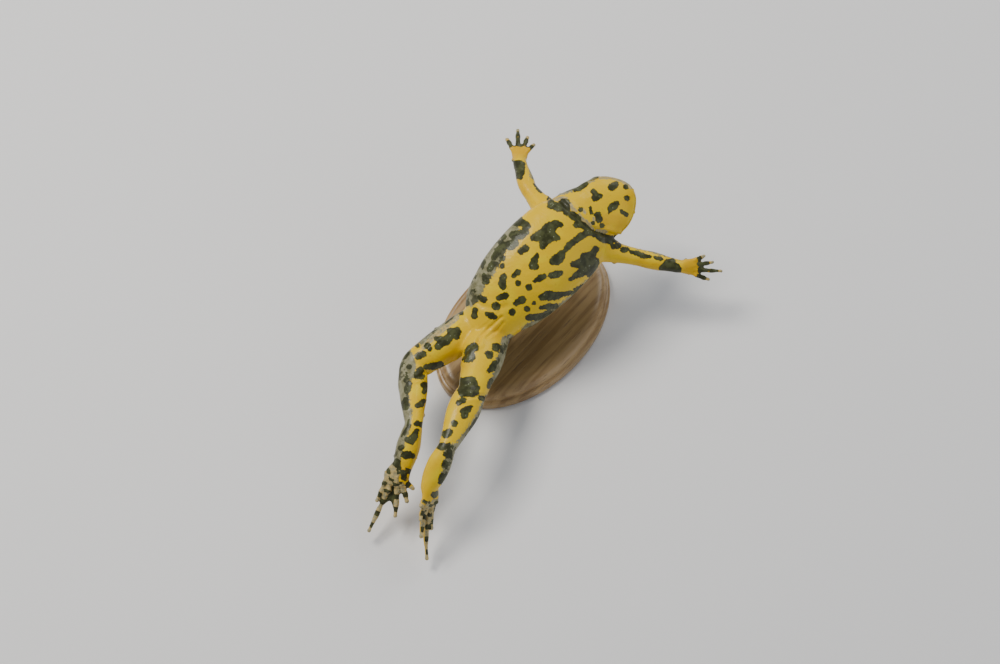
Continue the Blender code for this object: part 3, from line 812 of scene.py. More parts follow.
@dataclass(frozen=True)
class Marks:
    """Chains of discs that fall on flesh whose region starts with one of some words.

    Attributes:
        regions: The words.
        chains: Each chain's discs, as x, y and radius in photograph pixels.
        spread: How far past its radius each disc reaches, in pixels.
    """

    regions: tuple[str, ...]
    chains: tuple[tuple[Row, ...], ...]
    spread: float = 0.7

    def field(self, pixels: Array, scale: float) -> Array:
        """Return how far each place lies inside the marks, in millimetres, less than 0 outside."""
        best = np.full(len(pixels), -50.0)
        for chain in self.chains:
            rows = np.asarray(chain, float)
            path = rows if len(rows) > 1 else np.vstack([rows, rows + (0.01, 0, 0)])
            gap, _, place = distance_to_path(pixels, path[:, :2])
            radius = np.interp(place, np.arange(len(path)), path[:, 2])
            best = np.maximum(best, (radius + self.spread - gap) / scale)
        return best


# Flesh that a blotch may fall on
BODY = ("torso", "upper_arm", "thigh", "head")
HEAD = ("head", "torso")
RIGHT_LEG = ("thigh_right", "shank_right", "tarsus_right", "foot_right", "torso")
LEFT_LEG = ("thigh_left", "shank_left", "tarsus_left", "foot_left", "torso")
RIGHT_ARM = ("upper_arm_right", "forearm_right", "hand_right", "torso")
LEFT_ARM = ("upper_arm_left", "forearm_left", "hand_left", "torso")

# Slate blotches of the under side
DARK_MARKS = (
    Marks(
        BODY,
        (
            (
                (534, 237.5, 3.4), (539, 236, 4.2), (544, 233, 4.8),
                (549, 229, 6.5), (555, 224.5, 4.2), (560.5, 224.5, 2.4),
            ),
            ((548, 233, 6), (552, 236, 5.2), (556.5, 237.5, 2.8)),
            ((549, 234, 5), (545, 241, 4.4), (543, 246, 3)),
            ((573, 264.5, 2.6), (580, 264, 5), (588, 264, 6.4), (594, 262, 5)),
            ((585, 258, 5), (592, 255, 3.6), (596, 249, 2.6)),
            ((588, 268, 6.4), (581, 272.5, 4), (576, 275.5, 2.6), (570.5, 279.5, 1.4)),
            ((590, 274, 3.4), (597, 268, 2)),
            (
                (589, 231, 3), (583, 235, 3), (577, 239, 2.8),
                (570, 245, 2.8), (564.5, 251, 1.8), (560, 256, 4),
            ),
            ((560, 257, 4.6), (556, 260, 5.2), (552.5, 261.5, 3)),
            ((520.5, 252, 2.6), (525.5, 248.5, 3.2)),
            ((537, 255, 1.7), (534.5, 260, 3), (532.5, 266, 3.2), (536.5, 267, 2.4)),
            ((513.5, 275.5, 1.6), (517.5, 272, 2.7)),
            ((503.5, 277, 3.2), (502, 283, 3), (503, 287, 2.8)),
            ((502.5, 258.5, 1.8), (504, 257, 1.2)),
            ((502, 266, 2.2),),
            ((518, 283, 2.6),),
            ((529, 287, 2.8),),
            ((535, 281, 1.6), (540, 278.5, 3.2), (543.5, 276.5, 2.2)),
            ((551.5, 276, 2.6), (557, 274, 3.4), (560.5, 273, 2)),
            ((541.5, 297, 2.8), (548, 295.5, 4.6), (554, 296, 4), (560, 295, 2.8), (572, 292.5, 1.3)),
            ((576, 290.5, 2.4), (583, 287.5, 2.8)),
            ((541, 308, 1.6), (548, 306.5, 2.6), (556, 306, 2.2)),
            ((528, 317.5, 2.6), (535, 317.5, 3), (542, 316, 2.6), (549, 312, 2)),
            ((522, 300, 3.6), (516, 303, 2.4)),
            ((534, 303, 1.6),),
            ((505, 296, 3.4), (499, 298, 2.4)),
            ((527, 309, 2.4),),
        ),
    ),
    Marks(
        ("torso", "upper_arm_right"),
        (
            ((512, 221, 3.4), (518, 221, 5.6), (523, 223, 3), (527, 226, 3.4), (525, 229, 2.4)),
            ((513, 235, 3.4), (520, 235, 4.4), (526, 232, 3)),
            ((504, 246, 3.4), (511, 245, 4.8), (515, 242.5, 3.2)),
            ((503.5, 237, 2.2),),
            ((498, 252, 3), (494, 258, 2.2)),
            ((493, 264, 2.8), (489.5, 269, 2.6)),
            ((486, 281, 3.4), (484, 276, 2)),
            ((531, 178, 1.4), (535, 183, 1.6), (541, 190.5, 2)),
        ),
    ),
    Marks(
        ("torso", "head", "upper_arm"),
        (
            ((549.5, 198, 2), (551.5, 205, 3.6), (558, 207, 4), (564, 205, 6.2), (567, 212, 3.2)),
            ((573, 215.5, 3.8), (578, 219, 2.6)),
            ((577, 224, 3), (583, 225, 3.4), (587, 229, 2.4)),
            ((590, 231.5, 2.8), (596, 235, 2.8), (602, 237.5, 4), (609, 240, 4), (617, 239, 2.6)),
            ((613, 246.5, 2), (618, 245.5, 3)),
            ((623, 250, 2.6), (628, 249, 1.4)),
        ),
    ),
    Marks(
        HEAD,
        (
            ((596, 197, 4.2), (600, 196, 2)),
            ((596, 196, 3.4), (593, 191.5, 2)),
            ((611.5, 187.5, 3.2), (615.5, 184.8, 2.8)),
            ((625.3, 187, 2.1),),
            ((627, 198, 2.4),),
            ((610, 209, 2.2), (614, 206, 3.6), (617, 203.5, 2.2)),
            ((610, 209.5, 1.8), (609, 212.8, 1)),
            ((621.5, 211, 1.2), (626, 214.5, 1.9)),
            ((580.5, 209.5, 1.9),),
            ((590.5, 208, 1.1), (591, 212.5, 1.4)),
            ((597.5, 215, 2.7), (599, 219, 3.3)),
            ((593, 223.5, 1.6),),
            ((602, 225.5, 1.9),),
            ((575, 190, 2), (580, 187.5, 2.4), (586, 184.5, 2)),
        ),
    ),
    Marks(
        LEFT_ARM,
        (
            ((631, 252, 1.4), (637, 253.5, 2), (643, 255.5, 2.4), (650, 256.5, 1.4)),
            ((655, 257.5, 1.2), (661, 259, 1.6)),
            ((664.5, 269, 5), (670, 265.5, 7), (676, 269, 5)),
        ),
    ),
    Marks(
        RIGHT_ARM,
        (
            ((511, 166, 5), (519, 166, 5.6), (520, 172, 4.6)),
            ((512, 174, 4.6), (518, 175, 4.6), (521, 177, 2)),
        ),
    ),
    Marks(
        RIGHT_LEG,
        (
            ((456, 332.5, 4.8), (450, 331, 2.8)),
            ((457, 336.5, 2.8),),
            ((451, 335, 3.4), (447, 340, 4), (441, 343, 4.4), (438, 347, 2.8)),
            ((437, 338.5, 2.4), (441, 340, 3)),
            ((428, 346, 3), (430, 349.5, 1.8)),
            ((417, 345, 2),),
            ((450, 316, 2.6), (452.5, 312.5, 2.4)),
            ((461, 313, 2.1),),
            ((423, 354, 2.8), (418, 356.5, 2.8)),
            ((426, 367, 2), (432, 366.4, 3), (440, 364.6, 3), (443.5, 367, 1.6)),
            ((420, 371, 3.6), (417, 376, 2.6), (422, 376.5, 2.2)),
            ((409, 367, 2.2),),
            ((424, 385, 3), (427, 387, 3.2), (424.5, 391.5, 2)),
            ((417, 406, 1.8), (421, 404.5, 2.6), (423.5, 401, 2)),
            ((409, 383.5, 2.9), (407, 391, 2.6)),
            ((404, 405.5, 4.2), (406, 400, 2.6)),
            ((417, 423.5, 2.6), (422, 425, 2.2)),
            ((409, 426, 2),),
            ((417, 430.5, 2), (414.5, 436, 3), (411, 440.5, 3.6), (407, 440, 2.2)),
            ((401, 448, 2.7),),
            ((404.5, 455, 3.4), (409, 455, 4), (412.5, 456, 2)),
            ((396.5, 463, 3.8), (399, 467.5, 2)),
            ((404, 473, 2.4), (404, 478, 2.8)),
        ),
    ),
    Marks(
        LEFT_LEG,
        (
            ((474, 347, 4.4), (469, 351, 4), (470, 357, 5), (465, 359.5, 2.6)),
            ((489.5, 354.5, 3.4), (487, 353, 1.8)),
            ((496.5, 347, 4),),
            ((495, 363, 2.4), (492, 368, 3.4), (489, 371, 2)),
            ((491, 381, 2.2), (488.5, 387, 1.5)),
            ((462, 383, 5.2), (470, 384, 7.2), (473, 391, 5.6), (463, 391, 5)),
            ((477, 388, 2.4),),
            ((470, 379, 2),),
            ((481, 398, 2.4), (486, 399, 1.8)),
            ((463, 411, 2.6), (468, 409, 3), (471.5, 406.5, 1.2)),
            ((465, 411, 3), (464.5, 415.5, 3)),
            ((454.5, 423.5, 2.8),),
            ((458.5, 403, 2.4), (464, 400, 2)),
            ((478, 420, 2.6), (472, 430, 2.8)),
            ((446, 434, 4), (450, 431.5, 2.4)),
            ((440.5, 446.5, 3.4), (446, 446, 3), (448.5, 444, 1.5)),
            ((445, 454.5, 2),),
            ((445, 464, 3.2),),
            ((442.5, 477, 3.4), (440, 482.5, 1.6)),
            ((434, 495, 2.8), (438, 493, 1.4)),
            ((437, 504, 2.4), (439, 509, 2)),
        ),
    ),
    Marks(
        ("torso",),
        (
            ((475, 310.5, 2.6), (474.5, 316, 2.8)),
            ((487, 314, 1.8), (492, 316, 3.1), (496, 317.5, 1.4)),
            ((496, 306, 4),),
            ((484, 300, 3), (480, 297, 2.2)),
            ((466, 303, 2.6),),
            ((512, 312, 3),),
        ),
    ),
)

# Grey skin of the upper side that shows along the outline
BACK_MARKS = (
    Marks(
        ("torso", "upper_arm_right"),
        (
            ((505, 214, 8), (503, 226, 16), (493, 240, 16), (489, 254, 14), (482, 266, 14)),
            ((482, 266, 14), (474, 278, 13), (468, 294, 12)),
        ),
    ),
    Marks(("torso", "head"), (((554, 189, 7), (566, 185, 8), (578, 178, 8), (592, 172, 8)),)),
    Marks(
        RIGHT_LEG,
        (
            ((422, 340, 4.5), (434, 329.5, 4.5), (446, 319.5, 4.5), (458, 310, 4.5)),
            ((402, 352, 8), (405, 362, 10), (407, 373, 8)),
            ((396, 384, 12), (397, 400, 12), (400, 414, 11.5), (402, 424, 9)),
            ((400, 430, 8), (394, 446, 9.5), (390, 458, 10), (386, 474, 12)),
        ),
    ),
    Marks(
        LEFT_LEG,
        (
            ((510, 344, 9), (510, 356, 12), (507, 368, 11.5), (501, 381, 9), (497, 392, 7)),
            ((491, 402, 8.5), (486, 416, 8.5), (477, 430, 8.5), (465, 445, 8)),
            ((453, 452, 8), (453, 466, 8.5), (450, 480, 9)),
        ),
    ),
    Marks(LEFT_ARM, (((617, 237.5, 2.5), (640, 246, 2.5), (662, 252, 2.5), (680, 256, 3)),)),
    Marks(RIGHT_ARM, (((508, 160, 3), (510, 178, 3)), ((531, 160, 2.5), (533, 176, 2)))),
    Marks(
        ("torso",),
        (
            (
                (598, 277, 3), (586, 285, 3), (574, 297, 3),
                (562, 306, 3), (545, 319, 4), (527, 330, 5),
            ),
        ),
    ),
)

# Cream skin beside the folds
PALE_MARKS = (
    Marks(
        ("torso", "head", "upper_arm"),
        (
            ((552, 196.5, 0.6), (557, 199.5, 1.1), (562, 197.5, 0.8), (567, 198, 0.5)),
            ((570, 203.5, 0.9), (573, 209, 1.4), (576, 211, 0.6)),
            ((579, 214.5, 0.8), (582, 219, 1.1), (586, 222, 1.6), (588, 227, 2.6), (592, 229, 1.4)),
            ((597, 230.5, 0.8), (603, 231.5, 1.2), (607, 232, 0.6)),
            ((589, 226, 1.6), (594, 221.5, 0.9), (594, 218, 0.6)),
            ((585, 213, 0.9), (583, 209, 0.6)),
            ((600, 178, 0.8), (610, 177, 1.2), (622, 180, 1.4), (631, 187, 1.4)),
        ),
    ),
    Marks(RIGHT_LEG, (((424, 347, 2), (434, 337, 2), (446, 327, 2), (457, 318, 1.6)),)),
)

# Orange tints
WARM_MARKS = (
    Marks(HEAD, (((606, 222, 7), (617, 222, 9)), ((628, 205, 5),), ((630, 195, 4),))),
    Marks(("torso", "thigh"), (((498, 332, 5), (502, 340, 5)), ((450, 362, 6), (462, 366, 4)))),
    Marks(("upper_arm", "forearm"), (((525, 190, 5), (522, 181, 4)), ((640, 263, 3), (660, 268, 4)))),
    Marks(
        ("tarsus", "foot"),
        (((424, 500, 9), (427, 510, 6)), ((420, 470, 3),), ((423, 455, 3), (424, 440, 2))),
    ),
)


@dataclass(frozen=True)
class Fold:
    """A crease along a route in photograph pixels, its depth and width in millimetres."""

    regions: tuple[str, ...]
    route: tuple[Row, ...]
    depth: float
    width: float


FOLDS = (
    Fold(
        ("torso", "head", "upper_arm"),
        ((553, 196), (562, 201), (572, 211), (583, 222), (590, 228), (603, 233), (617, 236)),
        0.42,
        0.42,
    ),
    Fold(("torso", "thigh"), ((501, 317), (490, 327), (481, 336), (478, 342)), 0.28, 0.3),
    Fold(("torso", "thigh"), ((503, 322), (496, 331), (487, 337)), 0.16, 0.28),
    Fold(("torso", "thigh"), ((499, 313), (488, 324), (478, 331)), 0.12, 0.3),
    Fold(("torso", "thigh"), ((456, 321), (445, 329), (433, 339), (425, 347)), 0.25, 0.35),
    Fold(("torso", "thigh"), ((478, 342), (468, 348), (461, 360)), 0.3, 0.45),
    Fold(("torso",), ((476, 300), (482, 306), (495, 309), (507, 306)), 0.14, 0.5),
    Fold(("thigh_left", "shank_left"), ((460, 399), (470, 396), (483, 396)), 0.22, 0.35),
    Fold(("thigh_right", "shank_right"), ((412, 378), (418, 378), (427, 372)), 0.2, 0.35),
)


@dataclass(frozen=True)
class Sight:
    """What the photograph shows of each point.

    Attributes:
        pixels: Where the point falls on the picture.
        facing: 1 where the skin faces the camera, less than 0 where it is turned away.
        names: The point's region.
        scale: Pixels to a millimetre.
        outside: The marks' value where there are none, in millimetres.
    """

    pixels: Array
    facing: Array
    names: Array
    scale: float
    outside: float = -3.0

    def shows(self, regions: tuple[str, ...], least_facing: float) -> Array:
        """Tell which points lie on some regions and face the camera enough."""
        return within(self.names, *regions) & (self.facing > least_facing)

    def marks(self, groups: tuple[Marks, ...], least_facing: float = -0.05) -> Array:
        """Take the largest of the groups' fields, each on its own flesh alone."""
        best = np.full(len(self.pixels), self.outside)
        for group in groups:
            on_it = self.shows(group.regions, least_facing)
            best = np.where(on_it, np.maximum(best, group.field(self.pixels, self.scale)), best)
        return best

    def folds(self) -> Array:
        """Return the height of the folds: a bell-shaped crease beside a low swelling."""
        height = np.zeros(len(self.pixels))
        for fold in FOLDS:
            gap, _, _ = distance_to_path(self.pixels, np.asarray(fold.route, float))
            gap = gap / self.scale
            crease = -fold.depth * hump(gap, fold.width)
            swelling = 0.45 * fold.depth * hump(gap - 2.2 * fold.width, fold.width)
            height += self.shows(fold.regions, 0.05) * (crease + swelling)
        return height


# Finishes


class Graph:
    """A material's nodes, with short calls for the ones used here. Lengths are in millimetres."""

    def __init__(self, name: str) -> None:
        """Make an empty material with a Principled shader and places in millimetres."""
        self.material = bpy.data.materials.new(name)
        self.material.use_nodes = True
        self.tree = self.material.node_tree
        self.shader = self.tree.nodes["Principled BSDF"]
        place = self.tree.nodes.new("ShaderNodeTexCoord").outputs["Object"]
        scale = self.tree.nodes.new("ShaderNodeVectorMath")
        scale.operation = "SCALE"
        scale.inputs["Scale"].default_value = 1 / MM
        self.link(place, scale.inputs[0])
        self.place = scale.outputs["Vector"]

    def link(self, source: object, target: object) -> None:
        """Join a socket or put a number or colour into it."""
        if isinstance(source, bpy.types.NodeSocket):
            self.tree.links.new(source, target)
        else:
            target.default_value = source

    def attribute(self, name: str) -> bpy.types.NodeSocket:
        """Read a value that the mesh carries."""
        node = self.tree.nodes.new("ShaderNodeAttribute")
        node.attribute_name = name
        return node.outputs["Fac"]

    def math(self, operation: str, a: object, b: object = 0.0) -> bpy.types.NodeSocket:
        """Work out one sum of two values."""
        node = self.tree.nodes.new("ShaderNodeMath")
        node.operation = operation
        self.link(a, node.inputs[0])
        self.link(b, node.inputs[1])
        return node.outputs[0]

    def times(self, a: object, b: object) -> bpy.types.NodeSocket:
        """Multiply two values."""
        return self.math("MULTIPLY", a, b)

    def sway(self, value: object, noise: object, width: float) -> bpy.types.NodeSocket:
        """Shift a value by a noise about its middle, times a width."""
        return self.math("ADD", value, self.times(self.math("SUBTRACT", noise, 0.5), width))

    def step(self, value: object, low: float, high: float) -> bpy.types.NodeSocket:
        """Rise smoothly from 0 at low to 1 at high."""
        node = self.tree.nodes.new("ShaderNodeMapRange")
        node.interpolation_type = "SMOOTHSTEP"
        self.link(value, node.inputs["Value"])
        node.inputs["From Min"].default_value = low
        node.inputs["From Max"].default_value = high
        return node.outputs["Result"]

    def mix(self, share: object, first: object, second: object) -> bpy.types.NodeSocket:
        """Mix two colours by a share."""
        node = self.tree.nodes.new("ShaderNodeMix")
        node.data_type = "RGBA"
        self.link(share, node.inputs[0])
        self.link(first if isinstance(first, bpy.types.NodeSocket) else (*first, 1.0), node.inputs[6])
        self.link(second if isinstance(second, bpy.types.NodeSocket) else (*second, 1.0), node.inputs[7])
        return node.outputs[2]

    def noise(self, size: float, detail: float = 2.0, stretch: Row = (1, 1, 1)) -> bpy.types.NodeSocket:
        """Read cloudy noise whose clouds are about so many millimetres wide."""
        place = self.tree.nodes.new("ShaderNodeMapping")
        self.link(self.place, place.inputs["Vector"])
        place.inputs["Scale"].default_value = stretch
        node = self.tree.nodes.new("ShaderNodeTexNoise")
        self.link(place.outputs[0], node.inputs["Vector"])
        node.inputs["Scale"].default_value = 1 / size
        node.inputs["Detail"].default_value = detail
        return node.outputs["Fac"]

    def cells(self, size: float, smooth: float = 0.0) -> bpy.types.NodeSocket:
        """Read the distance from the middle of cells about so many millimetres wide."""
        node = self.tree.nodes.new("ShaderNodeTexVoronoi")
        self.link(self.place, node.inputs["Vector"])
        if smooth:
            node.feature = "SMOOTH_F1"
            node.inputs["Smoothness"].default_value = smooth
        node.inputs["Scale"].default_value = 1 / size
        return node.outputs["Distance"]

    def bump(self, height: bpy.types.NodeSocket) -> None:
        """Raise the surface by a height in millimetres."""
        node = self.tree.nodes.new("ShaderNodeBump")
        node.inputs["Distance"].default_value = MM
        self.link(height, node.inputs["Height"])
        self.link(node.outputs["Normal"], self.shader.inputs["Normal"])

    def set(self, **values: object) -> None:
        """Set the shader's sockets, named with underscores for spaces."""
        for name, value in values.items():
            self.link(value, self.shader.inputs[name.replace("_", " ")])


@dataclass(frozen=True)
class SkinFinish:
    """Moist skin: yellow below with slate blotches, olive grey and warty above."""

    yellow: Row = (0.84, 0.54, 0.0)
    amber: Row = (0.70, 0.37, 0.0)
    lemon: Row = (0.88, 0.63, 0.0)
    slate: Row = (0.036, 0.038, 0.012)
    slate_light: Row = (0.080, 0.086, 0.030)
    speck: Row = (0.24, 0.26, 0.17)
    cream: Row = (0.58, 0.43, 0.16)
    olive: Row = (0.15, 0.140, 0.060)
    clay: Row = (0.33, 0.31, 0.18)
    spine: Row = (0.012, 0.012, 0.010)
    edge_noise: float = 0.6
    back_noise: float = 1.6
    pale_noise: float = 1.2
    roughness: Row = (0.4, 0.52)

    def material(self) -> bpy.types.Material:
        """Mix the colours by the values that the skin's points carry."""
        g = Graph("toad_skin")
        dark, back = g.attribute("dark"), g.attribute("back")
        pale, warm = g.attribute("pale"), g.attribute("warm")
        wart, free = g.attribute("wart"), g.attribute("free")
        small, middle, wide = g.noise(0.5, 3), g.noise(1.5, 3), g.noise(4.5, 2)

        yellow = g.mix(g.step(wide, 0.52, 0.75), self.yellow, self.lemon)
        # Amber share: orange tints, random tone, and painted shade on skin turned away from the camera.
        shade = g.math("ADD", warm, g.times(g.step(middle, 0.5, 0.8), 0.22))
        yellow = g.mix(shade, yellow, self.amber)
        pore = g.step(g.cells(1.7), 0.16, 0.05)
        yellow = g.mix(g.times(pore, 0.5), yellow, self.amber)

        clay = g.mix(g.step(middle, 0.32, 0.68), self.olive, self.clay)
        clay = g.mix(g.times(g.step(small, 0.4, 0.7), 0.3), clay, self.clay)
        blotch = g.step(g.noise(3.2, 4), 0.57, 0.62)
        clay = g.mix(g.times(blotch, 0.8), clay, self.slate)
        clay = g.mix(g.times(g.step(wart, 0.2, 0.7), 0.5), clay, self.olive)
        clay = g.mix(g.step(wart, 0.8, 0.9), clay, self.spine)
        above = g.step(g.sway(back, small, self.back_noise), -0.12, 0.12)
        colour = g.mix(above, yellow, clay)
        pale = g.step(g.sway(pale, small, self.pale_noise), 0.35, 0.65)
        colour = g.mix(pale, colour, g.mix(g.step(small, 0.4, 0.65), self.cream, self.clay))

        inside = g.sway(g.sway(dark, small, self.edge_noise), middle, self.edge_noise)
        lone = g.times(g.step(g.noise(2.8, 3), 0.57, 0.59), free)
        marked = g.math("MAXIMUM", g.step(inside, -0.07, 0.07), lone)
        slate = g.mix(g.step(middle, 0.4, 0.65), self.slate, self.slate_light)
        fleck = g.math("ADD", g.cells(0.6), g.times(small, 0.5))
        speck = g.times(g.step(fleck, 0.52, 0.38), g.step(middle, 0.47, 0.6))
        slate = g.mix(g.times(speck, g.step(inside, 0.3, 0.7)), slate, self.speck)
        colour = g.mix(marked, colour, slate)

        granule = g.times(g.cells(0.5, 0.6), g.math("ADD", g.times(above, 0.06), 0.04))
        g.bump(g.math("ADD", granule, g.times(g.noise(0.16, 2), 0.02)))
        smooth, rough = self.roughness
        g.set(Base_Color=colour, Roughness=g.math("ADD", g.times(above, rough - smooth), smooth))
        g.set(Coat_Weight=0.12, Coat_Roughness=0.12, Specular_IOR_Level=0.2)
        return g.material


@dataclass(frozen=True)
class EyeFinish:
    """Wet eye: bronze iris, dark pupil with a thin gold rim."""

    gold: Row = (0.62, 0.36, 0.06)
    bronze: Row = (0.20, 0.10, 0.02)
    dark: Row = (0.008, 0.006, 0.005)

    def material(self) -> bpy.types.Material:
        """Mix the colours by the iris and pupil values of the ball's points."""
        g = Graph("toad_eye")
        iris, pupil = g.attribute("iris"), g.attribute("pupil")
        veins = g.step(g.noise(0.16, 3), 0.46, 0.58)
        colour = g.mix(veins, self.gold, self.bronze)
        colour = g.mix(g.step(g.noise(0.4, 2), 0.5, 0.66), colour, self.bronze)
        colour = g.mix(g.step(pupil, -0.07, -0.045), colour, self.gold)
        colour = g.mix(g.step(pupil, -0.02, 0.0), colour, self.dark)
        colour = g.mix(g.step(iris, 0.9, 1.0), colour, self.dark)
        g.set(Base_Color=colour, Roughness=0.25, Coat_Weight=1.0, Coat_Roughness=0.03)
        return g.material


@dataclass(frozen=True)
class OakFinish:
    """Satin oak with its grain along the base."""

    light: Row = (0.44, 0.28, 0.11)
    dark: Row = (0.30, 0.175, 0.06)
    pore: Row = (0.15, 0.08, 0.03)

    def material(self) -> bpy.types.Material:
        """Stretch rings and pores along the grain."""
        g = Graph("oak")
        rings = g.noise(1.1, 4, (1.0, 0.05, 0.6))
        fine = g.noise(0.28, 3, (1.0, 0.04, 1.0))
        colour = g.mix(g.step(rings, 0.38, 0.64), self.light, self.dark)
        pores = g.step(fine, 0.62, 0.7)
        colour = g.mix(g.times(pores, 0.6), colour, self.pore)
        g.bump(g.times(g.math("SUBTRACT", rings, pores), 0.03))
        rough = g.math("ADD", g.times(pores, 0.2), 0.38)
        g.set(Base_Color=colour, Roughness=rough, Coat_Weight=0.25, Coat_Roughness=0.25)
        return g.material


@dataclass(frozen=True)
class SteelFinish:
    """Brushed steel."""

    light: Row = (0.62, 0.62, 0.61)
    dark: Row = (0.42, 0.42, 0.42)

    def material(self) -> bpy.types.Material:
        """Draw fine scratches round the rods."""
        g = Graph("brushed_steel")
        scratch = g.noise(0.25, 3, (0.2, 0.2, 6.0))
        g.bump(g.times(scratch, 0.008))
        rough = g.math("ADD", g.times(scratch, 0.2), 0.2)
        g.set(Base_Color=g.mix(scratch, self.dark, self.light), Roughness=rough, Metallic=1.0)
        return g.material


@dataclass(frozen=True)
class FloorFinish:
    """Pale matt studio floor."""

    colour: Row = (0.90, 0.89, 0.87)

    def material(self) -> bpy.types.Material:
        """Give the floor a faint unevenness."""
        g = Graph("studio_floor")
        colour = g.mix(g.noise(60.0, 2), self.colour, tuple(0.97 * value for value in self.colour))
        g.set(Base_Color=colour, Roughness=0.85)
        return g.material


# Pieces


def add_piece(
    name: str,
    mesh: bpy.types.Mesh,
    material: bpy.types.Material,
    nodes: Sequence[str] = (),
) -> bpy.types.Object:
    """Put a mesh into the scene as a piece of the model.

    Args:
        name: The piece's name.
        mesh: Its mesh, placed in metres.
        material: Its finish.
        nodes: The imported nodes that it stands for.
    """
    item = add_object(name, mesh)
    mesh.materials.clear()
    mesh.materials.append(material)
    mesh.shade_smooth()
    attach(item, "root")
    if nodes:
        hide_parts(*nodes)
    log.info("%s: %d faces", name, len(mesh.polygons))
    return item


def outward(mesh: bpy.types.Mesh) -> None:
    """Turn the faces of a closed mesh outwards."""
    work = bmesh.new()
    work.from_mesh(mesh)
    bmesh.ops.recalc_face_normals(work, faces=work.faces)
    work.to_mesh(mesh)
    work.free()


def write_values(mesh: bpy.types.Mesh, values: dict[str, Array]) -> None:
    """Write named values of each point into the mesh."""
    for name, numbers in values.items():
        layer = mesh.attributes.new(name, "FLOAT", "POINT")
        layer.data.foreach_set("value", np.asarray(numbers, np.float32))


@dataclass
class Hide:
    """The points and normals of a mesh as arrays, read and written as a whole."""

    mesh: bpy.types.Mesh
    points: Array = field(init=False)
    normals: Array = field(init=False)
    edges: Array = field(init=False)

    def __post_init__(self) -> None:
        """Read the mesh."""
        self.read()

    def read(self) -> None:
        """Read points, normals and edges from the mesh."""
        count = len(self.mesh.vertices)
        flat = np.empty(count * 3, np.float32)
        self.mesh.vertices.foreach_get("co", flat)
        self.points = flat.reshape(-1, 3).astype(float)
        pairs = np.empty(len(self.mesh.edges) * 2, np.int32)
        self.mesh.edges.foreach_get("vertices", pairs)
        self.edges = pairs.reshape(-1, 2)
        self.read_normals()

    def read_normals(self) -> None:
        """Read the normals of the points."""
        flat = np.empty(len(self.mesh.vertices) * 3, np.float32)
        self.mesh.vertex_normals.foreach_get("vector", flat)
        self.normals = flat.reshape(-1, 3).astype(float)

    def write(self) -> None:
        """Put the points back into the mesh."""
        self.mesh.vertices.foreach_set("co", self.points.astype(np.float32).ravel())
        self.mesh.update()
        self.read_normals()

    def neighbour_mean(self, values: Array) -> Array:
        """Return the mean of each point's neighbours."""
        a, b = self.edges.T
        count = len(self.points)
        degree = np.bincount(a, minlength=count) + np.bincount(b, minlength=count)
        total = np.column_stack(
            [
                np.bincount(a, weights=column[b], minlength=count)
                + np.bincount(b, weights=column[a], minlength=count)
                for column in values.T
            ]
        )
        return total / degree[:, None]

    def relax(self, weight: Array, rounds: int) -> None:
        """Move each point towards the mean of its neighbours by its weight, some rounds over."""
        for _ in range(rounds):
            self.points += weight[:, None] * (self.neighbour_mean(self.points) - self.points)
        self.write()

    def raise_by(self, height: Array) -> None:
        """Move each point along its normal."""
        self.points += self.normals * height[:, None]
        self.write()

    def refine(self, chosen: Array) -> None:
        """Split the faces whose corners are all chosen into four."""
        work = bmesh.new()
        work.from_mesh(self.mesh)
        work.verts.ensure_lookup_table()
        edges = [edge for edge in work.edges if chosen[edge.verts[0].index] and chosen[edge.verts[1].index]]
        bmesh.ops.subdivide_edges(work, edges=edges, cuts=1, use_grid_fill=True)
        work.to_mesh(self.mesh)
        work.free()
        self.mesh.update()
        self.read()


# Digits as length, degrees from the aim, and the knuckle's place across the pad
FINGERS = ((6.0, 40, 1.15), (7.4, 16, 0.45), (9.2, -4, -0.35), (7.2, -30, -1.1))
TOES = ((5.6, 49, 1.9), (7.9, 32, 1.05), (11.0, 18, 0.15), (15.6, 0, -0.75), (9.6, -8, -1.7))
# Pads as length, half width and half depth
PALM = (3.7, 1.75, 0.95)
SOLE = (4.4, 2.6, 1.2)
# Half widths of each length, from its root to its end
ARM_WIDTHS = ((2.9, 2.6, 2.2, 1.9, 1.75), (1.75, 1.85, 1.75, 1.55, 1.4))
THIGH_WIDTHS = {Side.RIGHT: (3.7, 3.9, 3.8, 3.4, 2.9), Side.LEFT: (3.9, 4.3, 4.2, 3.5, 2.9)}
SHANK_WIDTHS = {Side.RIGHT: (2.7, 3.0, 2.8, 2.25, 1.75), Side.LEFT: (2.8, 3.3, 3.1, 2.4, 1.75)}
TARSUS_WIDTHS = (1.75, 2.15, 2.4, 2.35, 2.05)


def arm(side: Side, joints: tuple[Row, ...]) -> Limb:
    """Make an arm through its shoulder, elbow and wrist."""
    return Limb(side, joints, ("upper_arm", "forearm"), ARM_WIDTHS)


def leg(side: Side, joints: tuple[Row, ...]) -> Limb:
    """Make a leg through its hip, knee, ankle and the root of its foot."""
    widths = (THIGH_WIDTHS[side], SHANK_WIDTHS[side], TARSUS_WIDTHS)
    return Limb(side, joints, ("thigh", "shank", "tarsus"), widths)


def hand(limb: Limb, aim: Row, first_digit_way: Row, opening: float) -> Extremity:
    """Make the hand at the end of an arm."""
    before, root = limb.joints[-2:]
    return Extremity(
        limb.side, "hand", before, root, aim, first_digit_way, opening, FINGERS, 0.6, PALM, False
    )


def foot(limb: Limb, aim: Row, first_digit_way: Row, opening: float, heel: Row) -> Extremity:
    """Make the foot at the end of a leg."""
    before, root = limb.joints[-2:]
    return Extremity(
        limb.side, "foot", before, root, aim, first_digit_way, opening, TOES, 0.66, SOLE, True, heel
    )


